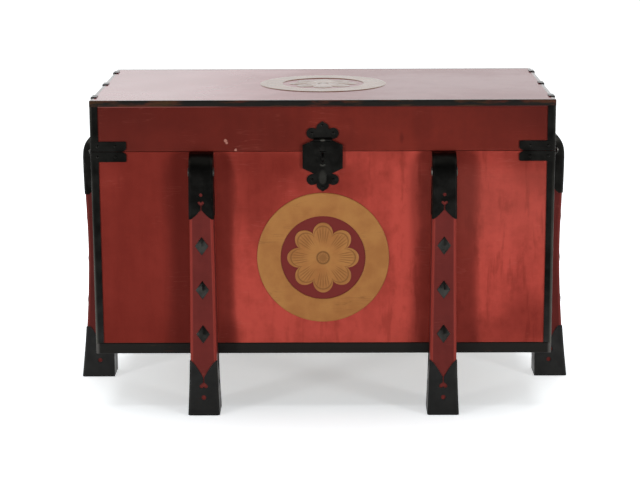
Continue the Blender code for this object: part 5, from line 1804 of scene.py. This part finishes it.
# %% Medallions in place
ON_FRONT = Matrix.Translation((0, RING_HIGH.y, MEDALLION_Z)) @ FACE_FRONT
LID_SUNK = 0.0006
ON_LID = Matrix.Translation((0, 0, LEVEL_Z - LID_SUNK))
for where, body, place, gilt in (("front", "chest", ON_FRONT, GOLD), ("lid", "lid", ON_LID, LID_GOLD)):
    for name, mesh in (("ring", RING), ("flower", FLOWER)):
        piece(f"gilt_{name}_{where}", placed(mesh, place), gilt, body,
              [f"{where}_medallion_{name}"])
print("medallions: 2, the lid's sunk", LID_SUNK * 1000, "mm in its lacquer")

# %% [markdown]
# ## The stage
# The chest stands on a white sweep. A brighter lamp would make the floor white but would also bleach the
# red, so the floor's own white is added for rays from the camera and for reflections. The lamps can then
# stay at a plain level, and the floor still takes the shadow.

# %% White floor
FLOOR_REACH = 30.0
FLOOR_DROP = 0.0004
FLOOR_PAINT = (0.845, 0.885, 0.905)
FLOOR_TINT = (0.975, 0.992, 1.0)
FLOOR_GLOW = 0.455
FLOOR_SHAPE = (1.6, 1.1, 1.0)
FLOOR_NEAR = 0.30
FLOOR_FAR = 1.5


def seen_ray(tree):
    """The Light Path sockets, and one for rays from the camera, off gloss or through glass, else nought."""
    path = node(tree, "LightPath").outputs
    seen = maths(tree, "MAXIMUM", path["Is Camera Ray"], path["Is Glossy Ray"])
    return path, maths(tree, "MAXIMUM", seen, path["Is Transmission Ray"])


def white_floor():
    """Dull white paint, with a glow for seen rays that grows with the distance from the chest."""
    material = bpy.data.materials.new("white_floor")
    material.use_nodes = True
    tree = material.node_tree
    shader = tree.nodes["Principled BSDF"]
    shader.inputs["Base Color"].default_value = (*FLOOR_PAINT, 1.0)
    shader.inputs["Roughness"].default_value = 0.9
    shader.inputs["Specular IOR Level"].default_value = 0.0
    shader.inputs["Emission Color"].default_value = (*FLOOR_TINT, 1.0)
    seen = seen_ray(tree)[1]
    place = stretched(tree, node(tree, "TexCoord").outputs["Object"], FLOOR_SHAPE)
    away = node(tree, "VectorMath", {0: place}, operation="LENGTH")
    glow = spread(tree, away.outputs["Value"], FLOOR_NEAR, FLOOR_FAR, FLOOR_GLOW, 1.0)
    tree.links.new(maths(tree, "MULTIPLY", seen, glow), shader.inputs["Emission Strength"])
    return material


corners = np.array([[-1, -1], [1, -1], [1, 1], [-1, 1]]) * FLOOR_REACH
floor_mesh = bpy.data.meshes.new("floor")
floor_mesh.from_pydata([(x, y, -FLOOR_DROP) for x, y in corners.tolist()], [], [(0, 1, 2, 3)])
floor_mesh.materials.append(white_floor())
floor = bpy.data.objects.new("floor", floor_mesh)
bpy.context.scene.collection.objects.link(floor)
print("floor:", 2 * FLOOR_REACH, "m wide,", round(1000 * FLOOR_DROP, 2), "mm under the feet")

# %% Surroundings
FILL_LIGHT = 0.16
ROOM_LIGHT = 0.12
ROOM_EDGE = 0.25


def studio_world(fill, room):
    """White to the camera. Reflections see white behind the chest and a dim room in front of it."""
    world = bpy.data.worlds.new("studio")
    world.use_nodes = True
    tree = world.node_tree
    path, seen = seen_ray(tree)
    direction = node(tree, "SeparateXYZ", {0: node(tree, "TexCoord").outputs["Generated"]}).outputs
    backdrop = spread(tree, direction["Y"], -ROOM_EDGE, ROOM_EDGE, room, 1.0)
    reflected = maths(tree, "MAXIMUM", backdrop, path["Is Camera Ray"])
    strength = node(tree, "Mix", {"Factor": seen, "A": fill, "B": reflected}, data_type="FLOAT")
    tree.links.new(strength.outputs["Result"], tree.nodes["Background"].inputs["Strength"])
    tree.nodes["Background"].inputs["Color"].default_value = (1.0, 1.0, 1.0, 1.0)
    bpy.context.scene.world = world


studio_world(FILL_LIGHT, ROOM_LIGHT)
print("world:", bpy.context.scene.world.name)

# %% [markdown]
# ## Lamps
# Two lamps stand level with the box at its left and right, and throw the legs' shadows on the front. Hung
# higher, they would mirror in the lid. A wide one overhead lights the lid and the floor, and it is hidden
# from reflections, because the lid should mirror the white room.

# %% Lamps
LAMP_AIM = Vector((0, -0.2, 0.35))


def lamp(name, azimuth, elevation, distance, size, power):
    """A soft rectangular lamp that looks at the middle of the chest from a direction in degrees."""
    light = bpy.data.lights.new(name, "AREA")
    light.shape = "RECTANGLE"
    light.size, light.size_y = size
    light.energy = power
    holder = bpy.data.objects.new(name, light)
    bpy.context.scene.collection.objects.link(holder)
    turn, rise = math.radians(azimuth), math.radians(elevation)
    back = Vector((math.sin(turn) * math.cos(rise), -math.cos(turn) * math.cos(rise), math.sin(rise)))
    holder.location = LAMP_AIM + back * distance
    holder.rotation_euler = (-back).to_track_quat("-Z", "Y").to_euler()
    return holder


lamp("left_lamp", azimuth=-45, elevation=1, distance=3.4, size=(0.45, 0.6), power=67)
lamp("right_lamp", azimuth=46, elevation=1, distance=3.4, size=(0.60, 0.6), power=71)
top_lamp = lamp("top_lamp", azimuth=180, elevation=80, distance=3.0, size=(3.2, 2.4), power=82)
top_lamp.visible_glossy = False
print("lamps:", len(bpy.data.lights))

# %% [markdown]
# ## The camera
# The camera stands a little right of the middle, about four metres away and over a metre up, with a long
# lens. It could be set by eye, but matching the corners of the box in the picture is surer, and places it
# to within a pixel.

# %% Camera
IMAGE_WIDTH = 640
FOCAL_PIXELS = 1911.19
EYE = Vector((0.0262, -4.0052, 1.1501))
YAW, PITCH, ROLL = -0.0086, 0.2114, -0.0046

camera = bpy.data.cameras.new("camera")
camera.sensor_fit = "HORIZONTAL"
camera.lens = FOCAL_PIXELS / IMAGE_WIDTH * camera.sensor_width
view = bpy.data.objects.new("camera", camera)
bpy.context.scene.collection.objects.link(view)
level = Matrix.Rotation(-YAW, 4, "Z") @ Matrix.Rotation(math.pi / 2 - PITCH, 4, "X")
view.matrix_world = Matrix.Translation(EYE) @ level @ Matrix.Rotation(ROLL, 4, "Z")
bpy.context.scene.camera = view
bpy.context.scene.view_settings.view_transform = "Standard"
print("lens", round(camera.lens, 2), "mm")
